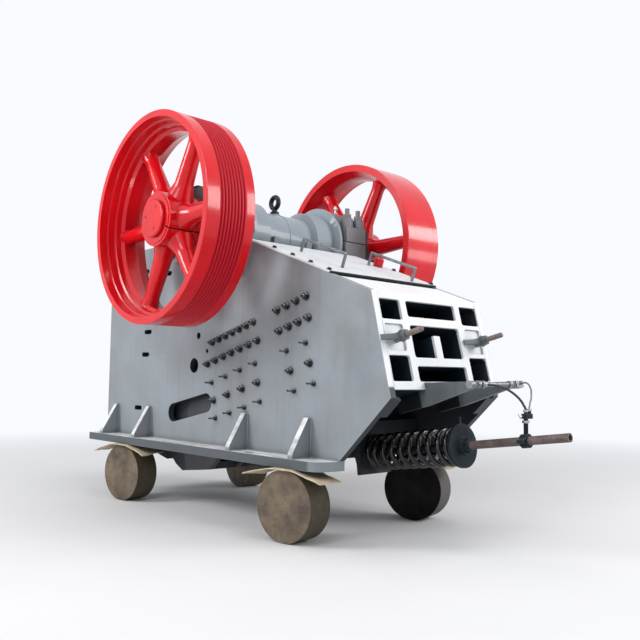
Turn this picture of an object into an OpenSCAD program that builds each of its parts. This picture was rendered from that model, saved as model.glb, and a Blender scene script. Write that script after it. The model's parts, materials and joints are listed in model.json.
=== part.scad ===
// Single-toggle jaw crusher resting on four round support drums.
// +X runs to the toggle and adjuster end, +Z is up; the origin is on the floor below the middle.

/* [Frame] */
// Width over the outer faces of the two side plates
body_w = 1070; // [1040:5:1100]
// Thickness of a side plate
plate_t = 50; // [45:1:56]
// Shaft line forward to the front edge of the side plates
front_run = 1670; // [1650:5:1700]
// Front edge of the side plates: its top below the shaft line
front_drop = 25; // [10:1:40]
// Shaft line back to the upper rear corner
rear_run = 1576; // [1550:2:1610]
// Shaft line down to the top of the base flanges
base_drop = 1605; // [1590:5:1640]
// Slope of the top edge towards the rear, in degrees
top_slope = 20.5; // [19:0.5:22]
// Lean of the rear frame from upright, in degrees
rear_lean = 14; // [12:0.5:16]
// Length of the rear frame along its lean
rear_len = 652; // [640:2:680]
// Shaft line back to the rear end of the base
foot_run = 1317; // [1290:1:1345]

/* [Base] */
// Thickness of a base flange
flange_t = 60; // [50:1:70]
// How far a base flange stands out of its side plate
flange_out = 165; // [155:1:185]
// Radius of the rounded rear corner of a base flange
flange_r = 150; // [120:5:155]
// Height of the triangular ribs on the flange
rib_h = 250; // [220:5:280]
// Thickness of the ribs
rib_t = 45; // [35:1:50]
// Diameter of the foundation bolt holes
bolt_hole_d = 54; // [45:1:60]
// Distance between the front and rear foundation bolt holes
bolt_run = 2140; // [2120:5:2170]
// Distance from the outer edge of the flange to the middle of a bolt hole
bolt_edge = 62; // [55:1:70]

/* [Shaft and bearings] */
// Diameter of the shaft in the side bearings
shaft_d = 200; // [190:2:210]
// Diameter of the eccentric part of the shaft
eccentric_d = 262; // [250:2:274]
// Offset of the eccentric from the shaft line
throw = 15; // [12:1:18]
// Shaft line down to the seat of the bearing housings
seat_drop = 150; // [140:2:165]
// Thickness of the seat shelf
shelf_t = 50; // [40:2:56]
// Half length of the seat shelf
seat_half = 350; // [340:2:360]
// Outer radius of a bearing cap
cap_r = 292; // [270:2:300]
// Width of a bearing housing along the shaft
housing_w = 265; // [255:1:275]

/* [Flywheels] */
// Diameter of a flywheel
wheel_d = 1500; // [1450:10:1550]
// Width of the rim
wheel_w = 380; // [350:5:400]
// Clearance between a bearing housing and its flywheel
wheel_gap = 19; // [12:1:34]
// Thickness of the rim at its outer edge
rim_t = 47; // [40:1:55]
// Number of spokes
spoke_count = 6; // [5:1:8]
// Radius of a spoke at the hub
spoke_r = 72; // [60:1:80]
// Radius of a spoke at the rim
spoke_tip_r = 50; // [40:1:58]
// Outer radius of the hub
hub_r = 195; // [180:1:210]
// How far the hub face lies inside the outer face of the rim
hub_inset = 75; // [60:1:90]
// Radius of the round hub cover
hub_cover_r = 134; // [120:1:150]
// Thickness of the hub cover
hub_cover_t = 26; // [18:1:32]
// Number of belt grooves on the driven flywheel
groove_count = 8; // [6:1:9]
// Distance between belt grooves
groove_pitch = 25.5; // [24:0.5:27]

/* [Crushing chamber] */
// Fixed jaw face at its top: forward of the shaft line
fixed_top = 1440; // [1420:5:1460]
// Fixed jaw face at its bottom: forward of the shaft line
fixed_low = 1110; // [1100:5:1140]
// Moving jaw face at its top: forward of the shaft line
swing_top = 610; // [590:5:640]
// Moving jaw face at its bottom: forward of the shaft line
swing_low = 960; // [940:5:975]
// Thickness of a jaw plate over its teeth
jaw_t = 90; // [80:1:100]
// Depth of the teeth
tooth_h = 26; // [20:1:32]
// Number of teeth across a jaw plate
tooth_count = 9; // [7:1:11]
// Thickness of the cheek plates
cheek_t = 25; // [20:1:28]

/* [Pitman] */
// Radius of the middle of the barrel
barrel_r = 205; // [195:1:215]
// Radius of the barrel ends
drum_r = 258; // [245:1:265]
// Radius of the rim disc at each barrel end
disc_r = 325; // [310:1:335]
// Width of the smaller middle of the barrel
waist_w = 430; // [380:10:480]

/* [Toggle and tension rod] */
// Thickness of the toggle plate
toggle_t = 60; // [50:1:70]
// Diameter of the tension rod
rod_d = 50; // [44:1:56]
// Rise of the tension rod towards the rear, in degrees
rod_rise = 7.8; // [6.5:0.1:8.5]
// Shaft line back to the spring seat
seat_run = 1826; // [1800:2:1850]
// Depth of the spring seat centre below the shaft line
seat_depth = 1502; // [1490:1:1515]
// How far the rod stands out behind the spring seat
rod_out = 725; // [680:5:760]
// Radius of the spring over its coils
spring_r = 122; // [112:1:126]
// Thickness of the spring wire
wire_d = 34; // [30:1:38]
// Number of spring coils
coil_count = 10; // [9:1:12]
// Length of the spring
spring_len = 720; // [700:5:740]

/* [Supports] */
// Diameter of a support drum
drum_d = 450; // [420:10:480]
// Width of a support drum
drum_w = 190; // [170:5:210]
// Turn of the near drums away from square, in degrees
drum_turn = 8; // [0:1:10]
// Thickness of the packing sheets
sheet_t = 10; // [6:1:14]

/* [Hidden] */
$fn = 64;

// Colours
body_grey = [0.50, 0.54, 0.58];
light_grey = [0.80, 0.82, 0.84];
dark_steel = [0.16, 0.17, 0.19];
bare_steel = [0.45, 0.44, 0.43];
rusty_steel = [0.42, 0.27, 0.20];
wheel_red = [0.82, 0.10, 0.09];
drum_brown = [0.42, 0.35, 0.27];
sheet_brown = [0.66, 0.54, 0.38];

// Side to side
half = body_w / 2;
inner = half - plate_t;
run_gap = 5;
running_fit = 0.4;
fit_gap = 0.3;
jaw_half = inner - cheek_t - 2 * run_gap;
frame_half = inner - fit_gap;
housing_in = inner - 15;
housing_out = housing_in + housing_w;
cover_ring_t = 14;
wheel_in = housing_out + cover_ring_t + wheel_gap;
wheel_out = wheel_in + wheel_w;
hub_out = wheel_out - hub_inset;
barrel_half = housing_in - cover_ring_t - run_gap - 3;

// Heights and lengths
flange_low = base_drop + flange_t;
shaft_h = flange_low + sheet_t + drum_d;
rod_tip_run = seat_run + rod_out * cos(rod_rise) + rod_d / 2 * sin(rod_rise);
front_over = 10;
shaft_x = (front_run + front_over - rod_tip_run) / 2;
seat_lip = 30;
corner_drop = seat_drop - seat_lip + (rear_run - seat_half) * tan(top_slope);
low_run = rear_run + rear_len * sin(rear_lean);
low_drop = corner_drop + rear_len * cos(rear_lean);
flange_y = half + flange_out;
undercut = atan2(low_run - foot_run, base_drop - low_drop);

// Side plate openings and bolts
slot_len = 610;
slot_h = 144;
slot_slope = 11.4;
slot_at = [-347, -1346];
key_len = 120;
key_h = 38;
key_places = [[-1070, -220], [-711, -268], [-1004, -737], [-1033, -926], [-1133, -1374]];
view_hole_at = [-291, -1020];
view_hole_d = 115;
pin_hole_at = [-239, -793];
pin_hole_d = 54;
oil_hole_at = [-119, -911];
oil_hole_d = 34;
bolt_slope = 14.8;
row_gap = 130;
long_row_at = [[-43, -849], [-102, -1010]];
long_row_step = [85, 104];
long_row_count = 7;
cheek_row_at = [-45, -1147];
cheek_row_shift = 30;
cheek_step = 180;
cheek_row_count = 4;
top_row_at = [714, -652];
top_row_shift = 24;
top_row_drop = 140;
top_step = 100;
end_row_at = [815, -927];
end_row_shift = 40;
end_step = 195;
// Each bolt: nut radius, nut thickness, stud radius and how far the stud stands out
heavy_bolt = [24, 24, 12, 46];
slim_bolt = [18, 15, 8, 60];

// Bearing shelf and its gussets, and the tabs under the rear corners
gusset_h = 190;
gusset_t = 40;
gusset_in = 12;
tab_t = 26;
tab_h = 150;
tab_w = 60;

// Side plate outline
seat_run_in = 90;
side_outline = [
    [-front_run, -base_drop], [-front_run, -front_drop], [-seat_half - seat_run_in, -front_drop],
    [-seat_half, -seat_drop + seat_lip], [-seat_half, -seat_drop - shelf_t],
    [seat_half, -seat_drop - shelf_t], [seat_half, -seat_drop + seat_lip],
    [rear_run, -corner_drop], [low_run, -low_drop], [foot_run, -base_drop]
];

// Base ribs and foundation bolts
rib_places = [-1480, -930, 379, 1040];
rib_top = 26;
rib_toe = 30;
rib_edge = 10;
bolt_front = -1580;
bolt_x = [bolt_front, bolt_front + bolt_run];

// Chamber
jaw_top = 60;
jaw_low = 1640;
swing_z = 1690;
wall_t = 80;
wall_front = 20;
wall_cols = 3;
wall_rows = 4;
fixed_lean = atan((fixed_top - fixed_low) / (jaw_low - jaw_top));
swing_lean = atan((swing_low - swing_top) / (swing_z - jaw_top));
swing_len = (swing_z - jaw_top) / cos(swing_lean);
jaw_back = jaw_t / cos(fixed_lean);
cheek_low = jaw_low - 60;
cheek_over = [60, 90];

// Grid of the rear frame, measured on its face down from the upper corner
bar_t = 52;
grid_depth = 280;
grid_back = 28;
side_cell = 190;
mid_cell = 2 * (inner - side_cell - bar_t);
top_bar = 42;
cell_r = 18;
row_1 = 105;
row_2 = 206;
row_3 = 98;
side_row_1 = 130;
side_row_3 = 160;
grid_low = top_bar + row_1 + bar_t + row_2 + bar_t + row_3 + bar_t - 6;
side_row_3_low = grid_low - bar_t + 4;
panel_set = 14;
panel_in = 12;
apron_t = 26;

centre_rib = 62;
centre_rib_h = 146;

// Lock rods
lock_edge = 85;
lock_y = inner - lock_edge;
lock_drop = 292;
lock_r = 17;
lock_out = 215;
lock_in = 130;
lock_nut_r = 36;
lock_nut_t = 38;
boss_r = 30;
boss_out = 60;
fin_len = 135;
fin_t = 30;
fin_root = 16;

// Arms under the rear frame, on the lean of the face
arm_y = 190;
arm_t = 36;
arm_out = 372;
arm_in = 240;
arm_root = 100;
arm_step = 41;
arm_knee = 26;
arm_end = [12, 17];
arm_tip = [36, 68];

// Top covers
cover_front = 385;
cover_rear = 1208;
cover_gap = 55;
cover_t = 14;
handle_span = 450;
handle_h = 96;
handle_r = 11;
handle_left_at = [612, -250];
handle_right_at = [752, 300];
neck_at = [753, 400];
neck_r = 36;
neck_h = 62;

// Toggle line
toggle_front = [-60, -seat_depth - 88];
toggle_rear = [650, 107 - seat_depth];
toggle_end_r = 46;
toggle_half = jaw_half - 60;
beam_run = 310;
beam_nose = [-110, 100];
beam_back = [-40, 215];
beam_web_y = 250;
beam_web_t = 60;
beam_web_h = [8, 190];

// Hydraulic pipe, on the lean of the rear frame
pipe_r = 13;
pipe_at = [arm_out - 32, -grid_low - 50];
pipe_left = 235;
pipe_right = 262;
collar_r = pipe_r + 9;
collar_w = 24;
port_block = 42;
port_r = 11;
port_out = 26;
tee_y = -115;

// Along the tension rod, from the spring seat
rod_front = 1870;
rod_pin_r = 20;
rod_lug_y = 36;
rod_pin = [seat_run - rod_front * cos(rod_rise), -seat_depth - rod_front * sin(rod_rise)];
clamp_at = 452;
clamp_w = 44;
clamp_lug = [36, 22];
valve_at = [seat_run + clamp_at * cos(rod_rise), -seat_depth + clamp_at * sin(rod_rise)];
valve_top = 152;
valve_block = [36, 62, 28];
stem_r = 13;
seat_r = 133;
seat_t = 22;
seat_gap = 0.3;
seat_boss_t = 14;
seat_nut_t = 36;
seat_fin = [16, 12, 60];
bracket_t = 36;
bracket_over = 15;
bracket_foot = 70;
bracket_foot_h = 110;
bracket_rib_t = 30;

// Hoses from the pipe to the valve on the rod: hundredths of the way rearward, across and down
hose_r = 7;
return_hose_r = 5;
return_rise = 13;
hose_end_rise = 9;
return_end = [36, 14];
hose_shape = [
    [0, 0, 0], [9, 0, 0], [18, 6, 1], [28, 16, 3], [37, 26, 6], [46, 37, 10], [54, 47, 15],
    [61, 57, 22], [69, 66, 30], [75, 75, 38], [81, 83, 47], [87, 89, 57], [91, 94, 66],
    [95, 97, 76], [98.6, 99, 84], [100, 100, 93], [100, 100, 100]
];
return_shape = [
    [0, 0, 0], [9, 0, 0], [19, 3, 2], [29, 8, 7], [38, 14, 14], [46, 20, 22], [53, 27, 31],
    [59, 35, 40], [65, 43, 49], [71, 52, 58], [76, 61, 65], [81, 70, 70.5], [86, 78, 74.5],
    [91, 85, 77.5], [94.6, 90.3, 80], [96.9, 94, 82.6], [98.2, 96.8, 85.4], [99.2, 98.6, 88.8],
    [99.8, 99.6, 92.6], [100, 100, 96.6], [100, 100, 100]
];

// Bearing housings and flywheels
housing_half = seat_half - 8;
cap_flange_h = 120;
cap_in = 12;
cap_joint = 4;
cap_bolt_x = 282;
cap_bolt_y = 62;
cap_bolt_h = 200;
cap_boss_r = 48;
cap_nut = [34, 36];
cap_stud = [19, 84];
seal_ring_r = shaft_d / 2 + 75;
shaft_end_r = shaft_d / 2 - 5;
spoke_set = 160;
spoke_phase = 3;
split_w = 9;
groove_mid = wheel_in + 0.46 * wheel_w;
groove_depth = 13;
groove_side = [[0.9, 0], [0.62, 1], [0.38, 1], [0.1, 0]];
rim_inside = [
    [rim_t + 12, 0], [rim_t + 30, 40], [rim_t + 65, 110], [rim_t + 65, 205], [rim_t + 42, 222],
    [rim_t + 38, 262], [rim_t + 22, 268], [rim_t + 17, 318], [rim_t + 5, 322], [rim_t, wheel_w]
];

// Pitman: barrel, lifting eye and the foot that holds the toggle plate
barrel_in = eccentric_d / 2 - 4;
barrel_profile = [
    [barrel_in, -barrel_half], [disc_r, -barrel_half], [disc_r, -barrel_half + 24],
    [drum_r, -barrel_half + 34], [drum_r, -waist_w / 2 - 26], [barrel_r, -waist_w / 2],
    [barrel_r, waist_w / 2], [drum_r, waist_w / 2 + 26], [drum_r, barrel_half - 34],
    [disc_r, barrel_half - 24], [disc_r, barrel_half], [barrel_in, barrel_half]
];
eye_boss_r = 44;
eye_boss_h = 6;
eye_ring_r = 46;
eye_bar_r = 19;
foot = toggle_front[1];
foot_back = toggle_front[0] - 12;
foot_high = foot + 100;
foot_low = foot - 110;
keel = [[-200, foot - 220], [-560, foot - 260], [-660, foot - 215]];
web_t = 50;
web_inner = [-190, 140];
web_front = 170;
web_neck = [190, -320];
web_waist = [-190, -1150];
foot_knee = -420;
foot_seat = [190, 150];
lug_root = -330;
head_in = [96, 150];
head_z = [100, -160, -300];
lug_t = 34;
pin_boss_r = rod_pin_r + 38;

// Supports
drum_y = half + 70;
drum_front = -1100;
drum_rear = 980;
sheet_w = 220;
sheet_shift = 30;
sheet_half = 330;
sheet_droop = 70;

function on_face(x, z) = [
    rear_run + x * cos(rear_lean) - z * sin(rear_lean),
    -corner_drop + x * sin(rear_lean) + z * cos(rear_lean)
];

// Placing
module at_shaft() {
    translate([shaft_x, 0, shaft_h]) children();
}

module at_face() {
    at_shaft() translate([rear_run, 0, -corner_drop]) rotate([0, -rear_lean, 0]) children();
}

module at_slope() {
    at_shaft() translate([rear_run, 0, -corner_drop]) rotate([0, top_slope, 0]) children();
}

module at_rod() {
    at_shaft() translate([seat_run, 0, -seat_depth]) rotate([0, -rod_rise, 0]) children();
}

module other_side() {
    mirror([0, 1, 0]) children();
}

// Shapes
module profile_y(y0, w) {
    translate([0, y0 + w, 0]) rotate([90, 0, 0]) linear_extrude(w) children();
}

module round_y(r, y0, w) {
    translate([0, y0, 0]) rotate([-90, 0, 0]) cylinder(r = r, h = w);
}

module slot_y(len, h, y0, w) {
    translate([-(len - h) / 2, y0, -h / 2]) cube([len - h, w, h]);
    for (s = [-1, 1]) translate([s * (len - h) / 2, 0, 0]) round_y(h / 2, y0, w);
}

module round_cell(y0, y1, z0, z1, depth) {
    translate([-depth, y0 + cell_r, z0]) cube([depth + 1, y1 - y0 - 2 * cell_r, z1 - z0]);
    translate([-depth, y0, z0 + cell_r]) cube([depth + 1, y1 - y0, z1 - z0 - 2 * cell_r]);
    for (y = [y0 + cell_r, y1 - cell_r], z = [z0 + cell_r, z1 - cell_r])
        translate([-depth, y, z]) rotate([0, 90, 0]) cylinder(r = cell_r, h = depth + 1, $fn = 24);
}

// Side plates with the bearing shelf
module bearing_shelf() {
    shelf_w = housing_out - inner;
    shelf_low = -seat_drop - shelf_t;
    translate([-seat_half, -housing_out, shelf_low]) cube([2 * seat_half, shelf_w, shelf_t]);
    for (x = [-seat_half + 2 * gusset_t, gusset_t / 2, seat_half - gusset_t])
        translate([x, 0, 0]) rotate([0, 0, 90]) profile_y(0, gusset_t) polygon([
            [-half, shelf_low], [-housing_out + gusset_in, shelf_low],
            [-housing_out + gusset_in, shelf_low - gusset_t], [-half, shelf_low - gusset_h]
        ]);
}

module side_plate() {
    color(body_grey) at_shaft() {
        difference() {
            profile_y(-half, plate_t) polygon(side_outline);
            translate([slot_at[0], 0, slot_at[1]]) rotate([0, -slot_slope, 0])
                slot_y(slot_len, slot_h, -half - 1, plate_t + 2);
            for (k = key_places) translate([k[0], 0, k[1]])
                slot_y(key_len, key_h, -half - 1, plate_t + 2);
            translate([view_hole_at[0], 0, view_hole_at[1]])
                round_y(view_hole_d / 2, -half - 1, plate_t + 2);
            translate([pin_hole_at[0], 0, pin_hole_at[1]])
                round_y(pin_hole_d / 2, -half - 1, plate_t + 2);
            translate([oil_hole_at[0], 0, oil_hole_at[1]])
                round_y(oil_hole_d / 2, -half - 1, plate_t + 2);
        }
        bearing_shelf();
        translate([low_run, -inner - 1, -low_drop]) rotate([0, undercut, 0])
            translate([-tab_t, 0, -tab_h - 20]) cube([tab_t, tab_w, tab_h]);
    }
}

module side_plate_left() {
    side_plate();
}

module side_plate_right() {
    other_side() side_plate();
}

// Base rails: flange with triangular ribs
module base_rail() {
    length = front_run + front_over + foot_run;
    color(body_grey) at_shaft() {
        difference() {
            union() {
                translate([-front_run - front_over, -flange_y, -flange_low])
                    cube([length - flange_r, flange_out + plate_t, flange_t]);
                translate([foot_run - flange_r, -flange_y + flange_r, -flange_low])
                    cube([flange_r, flange_out + plate_t - flange_r, flange_t]);
                translate([foot_run - flange_r, -flange_y + flange_r, -flange_low])
                    cylinder(r = flange_r, h = flange_t);
            }
            for (x = bolt_x) translate([x, -flange_y + bolt_edge, -flange_low - 1])
                cylinder(d = bolt_hole_d, h = flange_t + 2);
        }
        for (x = rib_places) translate([x + rib_t / 2, 0, 0]) rotate([0, 0, 90]) profile_y(0, rib_t)
            polygon([
                [-half, -base_drop], [-half, -base_drop + rib_h],
                [-half - rib_top, -base_drop + rib_h],
                [-flange_y + rib_edge, -base_drop + rib_toe], [-flange_y + rib_edge, -base_drop]
            ]);
    }
}

module base_rail_left() {
    base_rail();
}

module base_rail_right() {
    other_side() base_rail();
}

// Chamber: front wall, jaw plates and cheek plates
function fixed_face(z) = -fixed_top + (fixed_top - fixed_low) * (z - jaw_top) / (jaw_low - jaw_top);
function wall_back(z) = fixed_face(z) - jaw_back - wall_t;

module front_wall() {
    front = -front_run + wall_front;
    z0 = front_drop + 15;
    z1 = flange_low - 5;
    cell_w = (2 * inner - (wall_cols - 1) * rib_t) / wall_cols;
    cell_h = (z1 - z0 - (wall_rows + 1) * rib_t) / wall_rows;
    color(body_grey) at_shaft() difference() {
        profile_y(-inner, 2 * inner) polygon([
            [front, -z0], [fixed_face(z0) - jaw_back - fit_gap, -z0],
            [fixed_face(z1) - jaw_back - fit_gap, -z1], [front, -z1]
        ]);
        for (i = [0 : wall_cols - 1], k = [0 : wall_rows - 1]) {
            top = z0 + rib_t + k * (cell_h + rib_t);
            low = top + cell_h;
            y0 = -inner + i * (cell_w + rib_t);
            profile_y(i == 0 ? y0 - 1 : y0, i == 0 || i == wall_cols - 1 ? cell_w + 1 : cell_w) polygon([
                [front - 1, -top], [wall_back(top), -top], [wall_back(low), -low], [front - 1, -low]
            ]);
        }
    }
}

module toothed_plate(length, width) {
    pitch = width / tooth_count;
    floor_t = jaw_t - tooth_h;
    linear_extrude(length) polygon(concat(
        [[0, -width / 2]],
        [for (i = [0 : tooth_count - 1], s = [[0.06, floor_t], [0.36, jaw_t], [0.64, jaw_t], [0.94, floor_t]])
            [s[1], -width / 2 + pitch * (i + s[0])]],
        [[0, width / 2]]
    ));
}

module at_swing() {
    at_shaft() translate([-swing_low, 0, -swing_z]) rotate([0, swing_lean, 0]) children();
}

module fixed_jaw_plate() {
    color(dark_steel) at_shaft() translate([-fixed_low, 0, -jaw_low]) rotate([0, -fixed_lean, 0])
        translate([-jaw_t, 0, 0]) toothed_plate((jaw_low - jaw_top) / cos(fixed_lean), 2 * jaw_half);
}

module swing_jaw_plate() {
    color(dark_steel) at_swing() translate([jaw_t, 0, 0]) mirror([1, 0, 0])
        toothed_plate(swing_len, 2 * jaw_half);
}

module cheek_plate() {
    color(bare_steel) at_shaft() profile_y(-inner, cheek_t) polygon([
        [fixed_face(jaw_top), -jaw_top], [-swing_top + cheek_over[0], -jaw_top],
        [-swing_low + cheek_over[1], -cheek_low], [fixed_face(cheek_low), -cheek_low]
    ]);
}

module cheek_plate_left() {
    cheek_plate();
}

module cheek_plate_right() {
    other_side() cheek_plate();
}

// Rear frame: a grid of deep cells between the side plates
module rear_frame() {
    mid = mid_cell / 2;
    row_2_top = top_bar + row_1 + bar_t;
    row_3_top = row_2_top + row_2 + bar_t;
    depth = grid_depth - grid_back;
    color(light_grey) {
        at_face() difference() {
            union() {
                difference() {
                    translate([-grid_depth, -frame_half, -grid_low])
                        cube([grid_depth, 2 * frame_half, grid_low]);
                    round_cell(-mid, mid, -top_bar - row_1, -top_bar, depth);
                    round_cell(-mid, mid, -row_2_top - row_2, -row_2_top, depth);
                    round_cell(-mid, mid, -row_3_top - row_3, -row_3_top, depth);
                    for (s = [-1, 1]) {
                        y0 = s > 0 ? mid + bar_t : -inner;
                        y1 = y0 + side_cell;
                        round_cell(y0, y1, -top_bar - side_row_1, -top_bar, depth);
                        round_cell(y0, y1, -side_row_3_low, -side_row_3_low + side_row_3, depth);
                        round_cell(y0 + panel_in, y1 - panel_in,
                            -side_row_3_low + side_row_3 + bar_t / 2,
                            -top_bar - side_row_1 - bar_t / 2, panel_set);
                    }
                }
                translate([-grid_depth + 1, -centre_rib / 2, -row_2_top - row_2 - 1])
                    cube([grid_depth - 1, centre_rib, centre_rib_h]);
                for (y = [-lock_y, lock_y]) translate([0, y, -lock_drop]) {
                    translate([-panel_set - 1, 0, 0]) rotate([0, 90, 0])
                        cylinder(r = boss_r, h = boss_out + panel_set + 1);
                    translate([0, 0, -fin_t / 2]) linear_extrude(fin_t) polygon([
                        [-panel_set - 1, -lock_edge + fit_gap], [-panel_set - 1, 0], [boss_out, 0],
                        [boss_out, -boss_r], [fin_root, -fin_len], [fit_gap, -fin_len],
                        [fit_gap, -lock_edge + fit_gap]
                    ]);
                }
            }
            for (y = [-lock_y, lock_y]) translate([-lock_in, y, -lock_drop])
                rotate([0, 90, 0]) cylinder(r = lock_r + 0.3, h = lock_in + boss_out + 1);
        }
        at_slope() translate([(cover_rear + cover_gap - rear_run) / cos(top_slope), -frame_half, -apron_t])
            cube([(rear_run - cover_rear - cover_gap) / cos(top_slope), 2 * frame_half, apron_t]);
    }
}

module lock_rod() {
    color(rusty_steel) at_face() translate([-lock_in, -lock_y, -lock_drop]) rotate([0, 90, 0])
        cylinder(r = lock_r, h = lock_in + lock_out);
    color(dark_steel) at_face() difference() {
        translate([boss_out, -lock_y, -lock_drop]) rotate([0, 90, 0])
            cylinder(r = lock_nut_r, h = lock_nut_t, $fn = 6);
        translate([boss_out - 1, -lock_y, -lock_drop]) rotate([0, 90, 0])
            cylinder(r = lock_r - 1, h = lock_nut_t + 2);
    }
}

module lock_rod_left() {
    lock_rod();
}

module lock_rod_right() {
    other_side() lock_rod();
}

module support_arm() {
    color(body_grey) at_face() difference() {
        profile_y(-arm_y - arm_t / 2, arm_t) polygon([
            [-arm_in, -grid_low - arm_root], [-arm_in, -grid_low],
            [0, -grid_low], [0, -grid_low + arm_step], [arm_out - arm_end[0], -grid_low - arm_tip[0]],
            [arm_out - arm_end[1], -grid_low - arm_tip[1]], [-arm_knee, -grid_low - arm_root]
        ]);
        translate([pipe_at[0], 0, pipe_at[1]]) round_y(pipe_r + 0.3, -arm_y - arm_t, 2 * arm_t);
    }
}

module support_arm_left() {
    support_arm();
}

module support_arm_right() {
    other_side() support_arm();
}

// Hydraulic pipe across the arms, with the tee and the end block that the hoses leave from
module hydraulic_pipe() {
    arm_side = arm_t / 2;
    color(bare_steel) {
        at_face() translate([pipe_at[0], 0, pipe_at[1]]) {
            round_y(pipe_r, -pipe_left, pipe_left + pipe_right);
            for (y = [-pipe_left - 6, -arm_y - arm_side - collar_w, -arm_y + arm_side,
                    arm_y - arm_side - collar_w, tee_y - collar_w / 2])
                round_y(collar_r, y, collar_w);
            translate([-port_block / 2, arm_y + arm_side, -port_block / 2])
                cube([port_block, pipe_right + port_block / 2 - arm_y - arm_side, port_block]);
        }
        at_shaft() for (end = [hose_route[0], return_route[0]])
            translate([end[0] - port_out, end[1], end[2]]) rotate([0, 90, 0])
                cylinder(r = port_r, h = port_out);
    }
}

function unit(v) = v / norm(v);
function along(from, to, shape) =
    [for (p = shape) [for (k = [0 : 2]) from[k] + (to[k] - from[k]) * p[k] / 100]];
function tangent(path, i) =
    unit(path[min(i + 1, len(path) - 1)] - path[max(i - 1, 0)]);
function side_of(t) = unit(cross(t, abs(t[0]) < 0.9 ? [1, 0, 0] : [0, 1, 0]));

module tube_along(path, r, sides) {
    count = len(path);
    points = [for (i = [0 : count - 1], k = [0 : sides - 1])
        let (t = tangent(path, i), a = side_of(t), b = cross(t, a), w = 360 * k / sides)
            path[i] + r * (cos(w) * a + sin(w) * b)];
    walls = [for (i = [0 : count - 2], k = [0 : sides - 1])
        let (m = (k + 1) % sides)
            [i * sides + k, (i + 1) * sides + k, (i + 1) * sides + m, i * sides + m]];
    ends = [[for (k = [0 : sides - 1]) k], [for (k = [sides - 1 : -1 : 0]) (count - 1) * sides + k]];
    polyhedron(points, concat(walls, ends));
}

pipe_line = on_face(pipe_at[0], pipe_at[1]);
hose_route = along([pipe_line[0] + port_out, tee_y, pipe_line[1]],
    [valve_at[0], 0, valve_at[1] + valve_top + hose_end_rise], hose_shape);
return_route = along([pipe_line[0] + port_out, pipe_right, pipe_line[1] + return_rise],
    [valve_at[0], return_end[0], valve_at[1] + valve_top + return_end[1]], return_shape);

module hydraulic_hose() {
    color(dark_steel) at_shaft() tube_along(hose_route, hose_r, 10);
}

module return_hose() {
    color(dark_steel) at_shaft() tube_along(return_route, return_hose_r, 10);
}

// Clamp on the tension rod, with the valve that the hoses end in
module rod_clamp() {
    color(bare_steel) {
        at_rod() translate([clamp_at, 0, 0]) difference() {
            union() {
                rotate([0, 90, 0]) cylinder(r = rod_d / 2 + 15, h = clamp_w, center = true);
                for (s = [-1, 1]) translate([-clamp_w / 2, s > 0 ? rod_d / 2 : -rod_d / 2 - clamp_lug[0],
                        -clamp_lug[1] / 2])
                    cube([clamp_w, clamp_lug[0], clamp_lug[1]]);
            }
            rotate([0, 90, 0]) cylinder(d = rod_d, h = clamp_w + 2, center = true);
        }
        at_shaft() {
            translate([valve_at[0], 0, valve_at[1] + rod_d / 2 + 5])
                cylinder(r = stem_r, h = valve_top - rod_d / 2 - valve_block[2]);
            translate([valve_at[0] - valve_block[0] / 2, -valve_block[0] / 2,
                    valve_at[1] + valve_top - valve_block[2]])
                cube(valve_block);
            for (route = [hose_route, return_route])
                translate(route[len(route) - 1] - [0, 0, port_out])
                    cylinder(r = port_r, h = port_out);
        }
    }
}

// Tension rod with its spring, seat and bracket
module tension_rod() {
    eye_in = rod_pin_r + throw + run_gap;
    color(rusty_steel) at_rod() difference() {
        union() {
            translate([-rod_front + eye_in + 6, 0, 0]) rotate([0, 90, 0])
                cylinder(d = rod_d, h = rod_front - eye_in - 6 + rod_out);
            translate([-rod_front, 0, 0]) round_y(eye_in + 22, -rod_d / 2, rod_d);
        }
        translate([-rod_front, 0, 0]) round_y(eye_in, -rod_d, 2 * rod_d);
        translate([rod_out - 40, 0, 0]) rotate([0, 90, 0]) cylinder(r = rod_d / 2 - 8, h = 41);
    }
}

module tension_spring() {
    steps = 20;
    mean_r = spring_r - wire_d / 2;
    rise = spring_len - wire_d - 2 * seat_gap;
    first = -spring_len + wire_d / 2 + seat_gap;
    path = [for (i = [0 : coil_count * steps])
        let (w = 360 * i / steps)
            [first + rise * i / (coil_count * steps), mean_r * cos(w), mean_r * sin(w)]];
    color(dark_steel) at_rod() tube_along(path, wire_d / 2, 8);
}

module spring_seat() {
    color(body_grey) at_rod() difference() {
        union() {
            rotate([0, 90, 0]) cylinder(r = seat_r, h = seat_t);
            translate([seat_t, 0, 0]) rotate([0, 90, 0]) cylinder(r = rod_d / 2 + 26, h = seat_boss_t);
            translate([seat_t + seat_boss_t, 0, 0]) rotate([0, 90, 0])
                cylinder(r = rod_d / 2 + 20, h = seat_nut_t, $fn = 6);
            translate([2, -seat_fin[1] / 2, seat_r - 20]) cube(seat_fin);
        }
        translate([-1, 0, 0]) rotate([0, 90, 0]) cylinder(d = rod_d, h = 100);
    }
}

module spring_bracket() {
    color(body_grey) at_rod() translate([-spring_len - bracket_t, 0, 0]) difference() {
        union() {
            translate([0, -seat_r - bracket_over, -seat_r - 5])
                cube([bracket_t, 2 * (seat_r + bracket_over), 2 * seat_r + 10]);
            translate([-bracket_foot, -frame_half, seat_r - 30])
                cube([bracket_foot + bracket_t, 2 * frame_half, bracket_foot_h]);
            for (y = [-seat_r, seat_r - bracket_rib_t]) translate([0, y, 0]) profile_y(0, bracket_rib_t)
                polygon([[1, -seat_r + 20], [1, seat_r], [-bracket_foot, seat_r]]);
        }
        translate([-1, 0, 0]) rotate([0, 90, 0]) cylinder(r = rod_d / 2 + 6, h = bracket_t + 2);
    }
}

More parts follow.
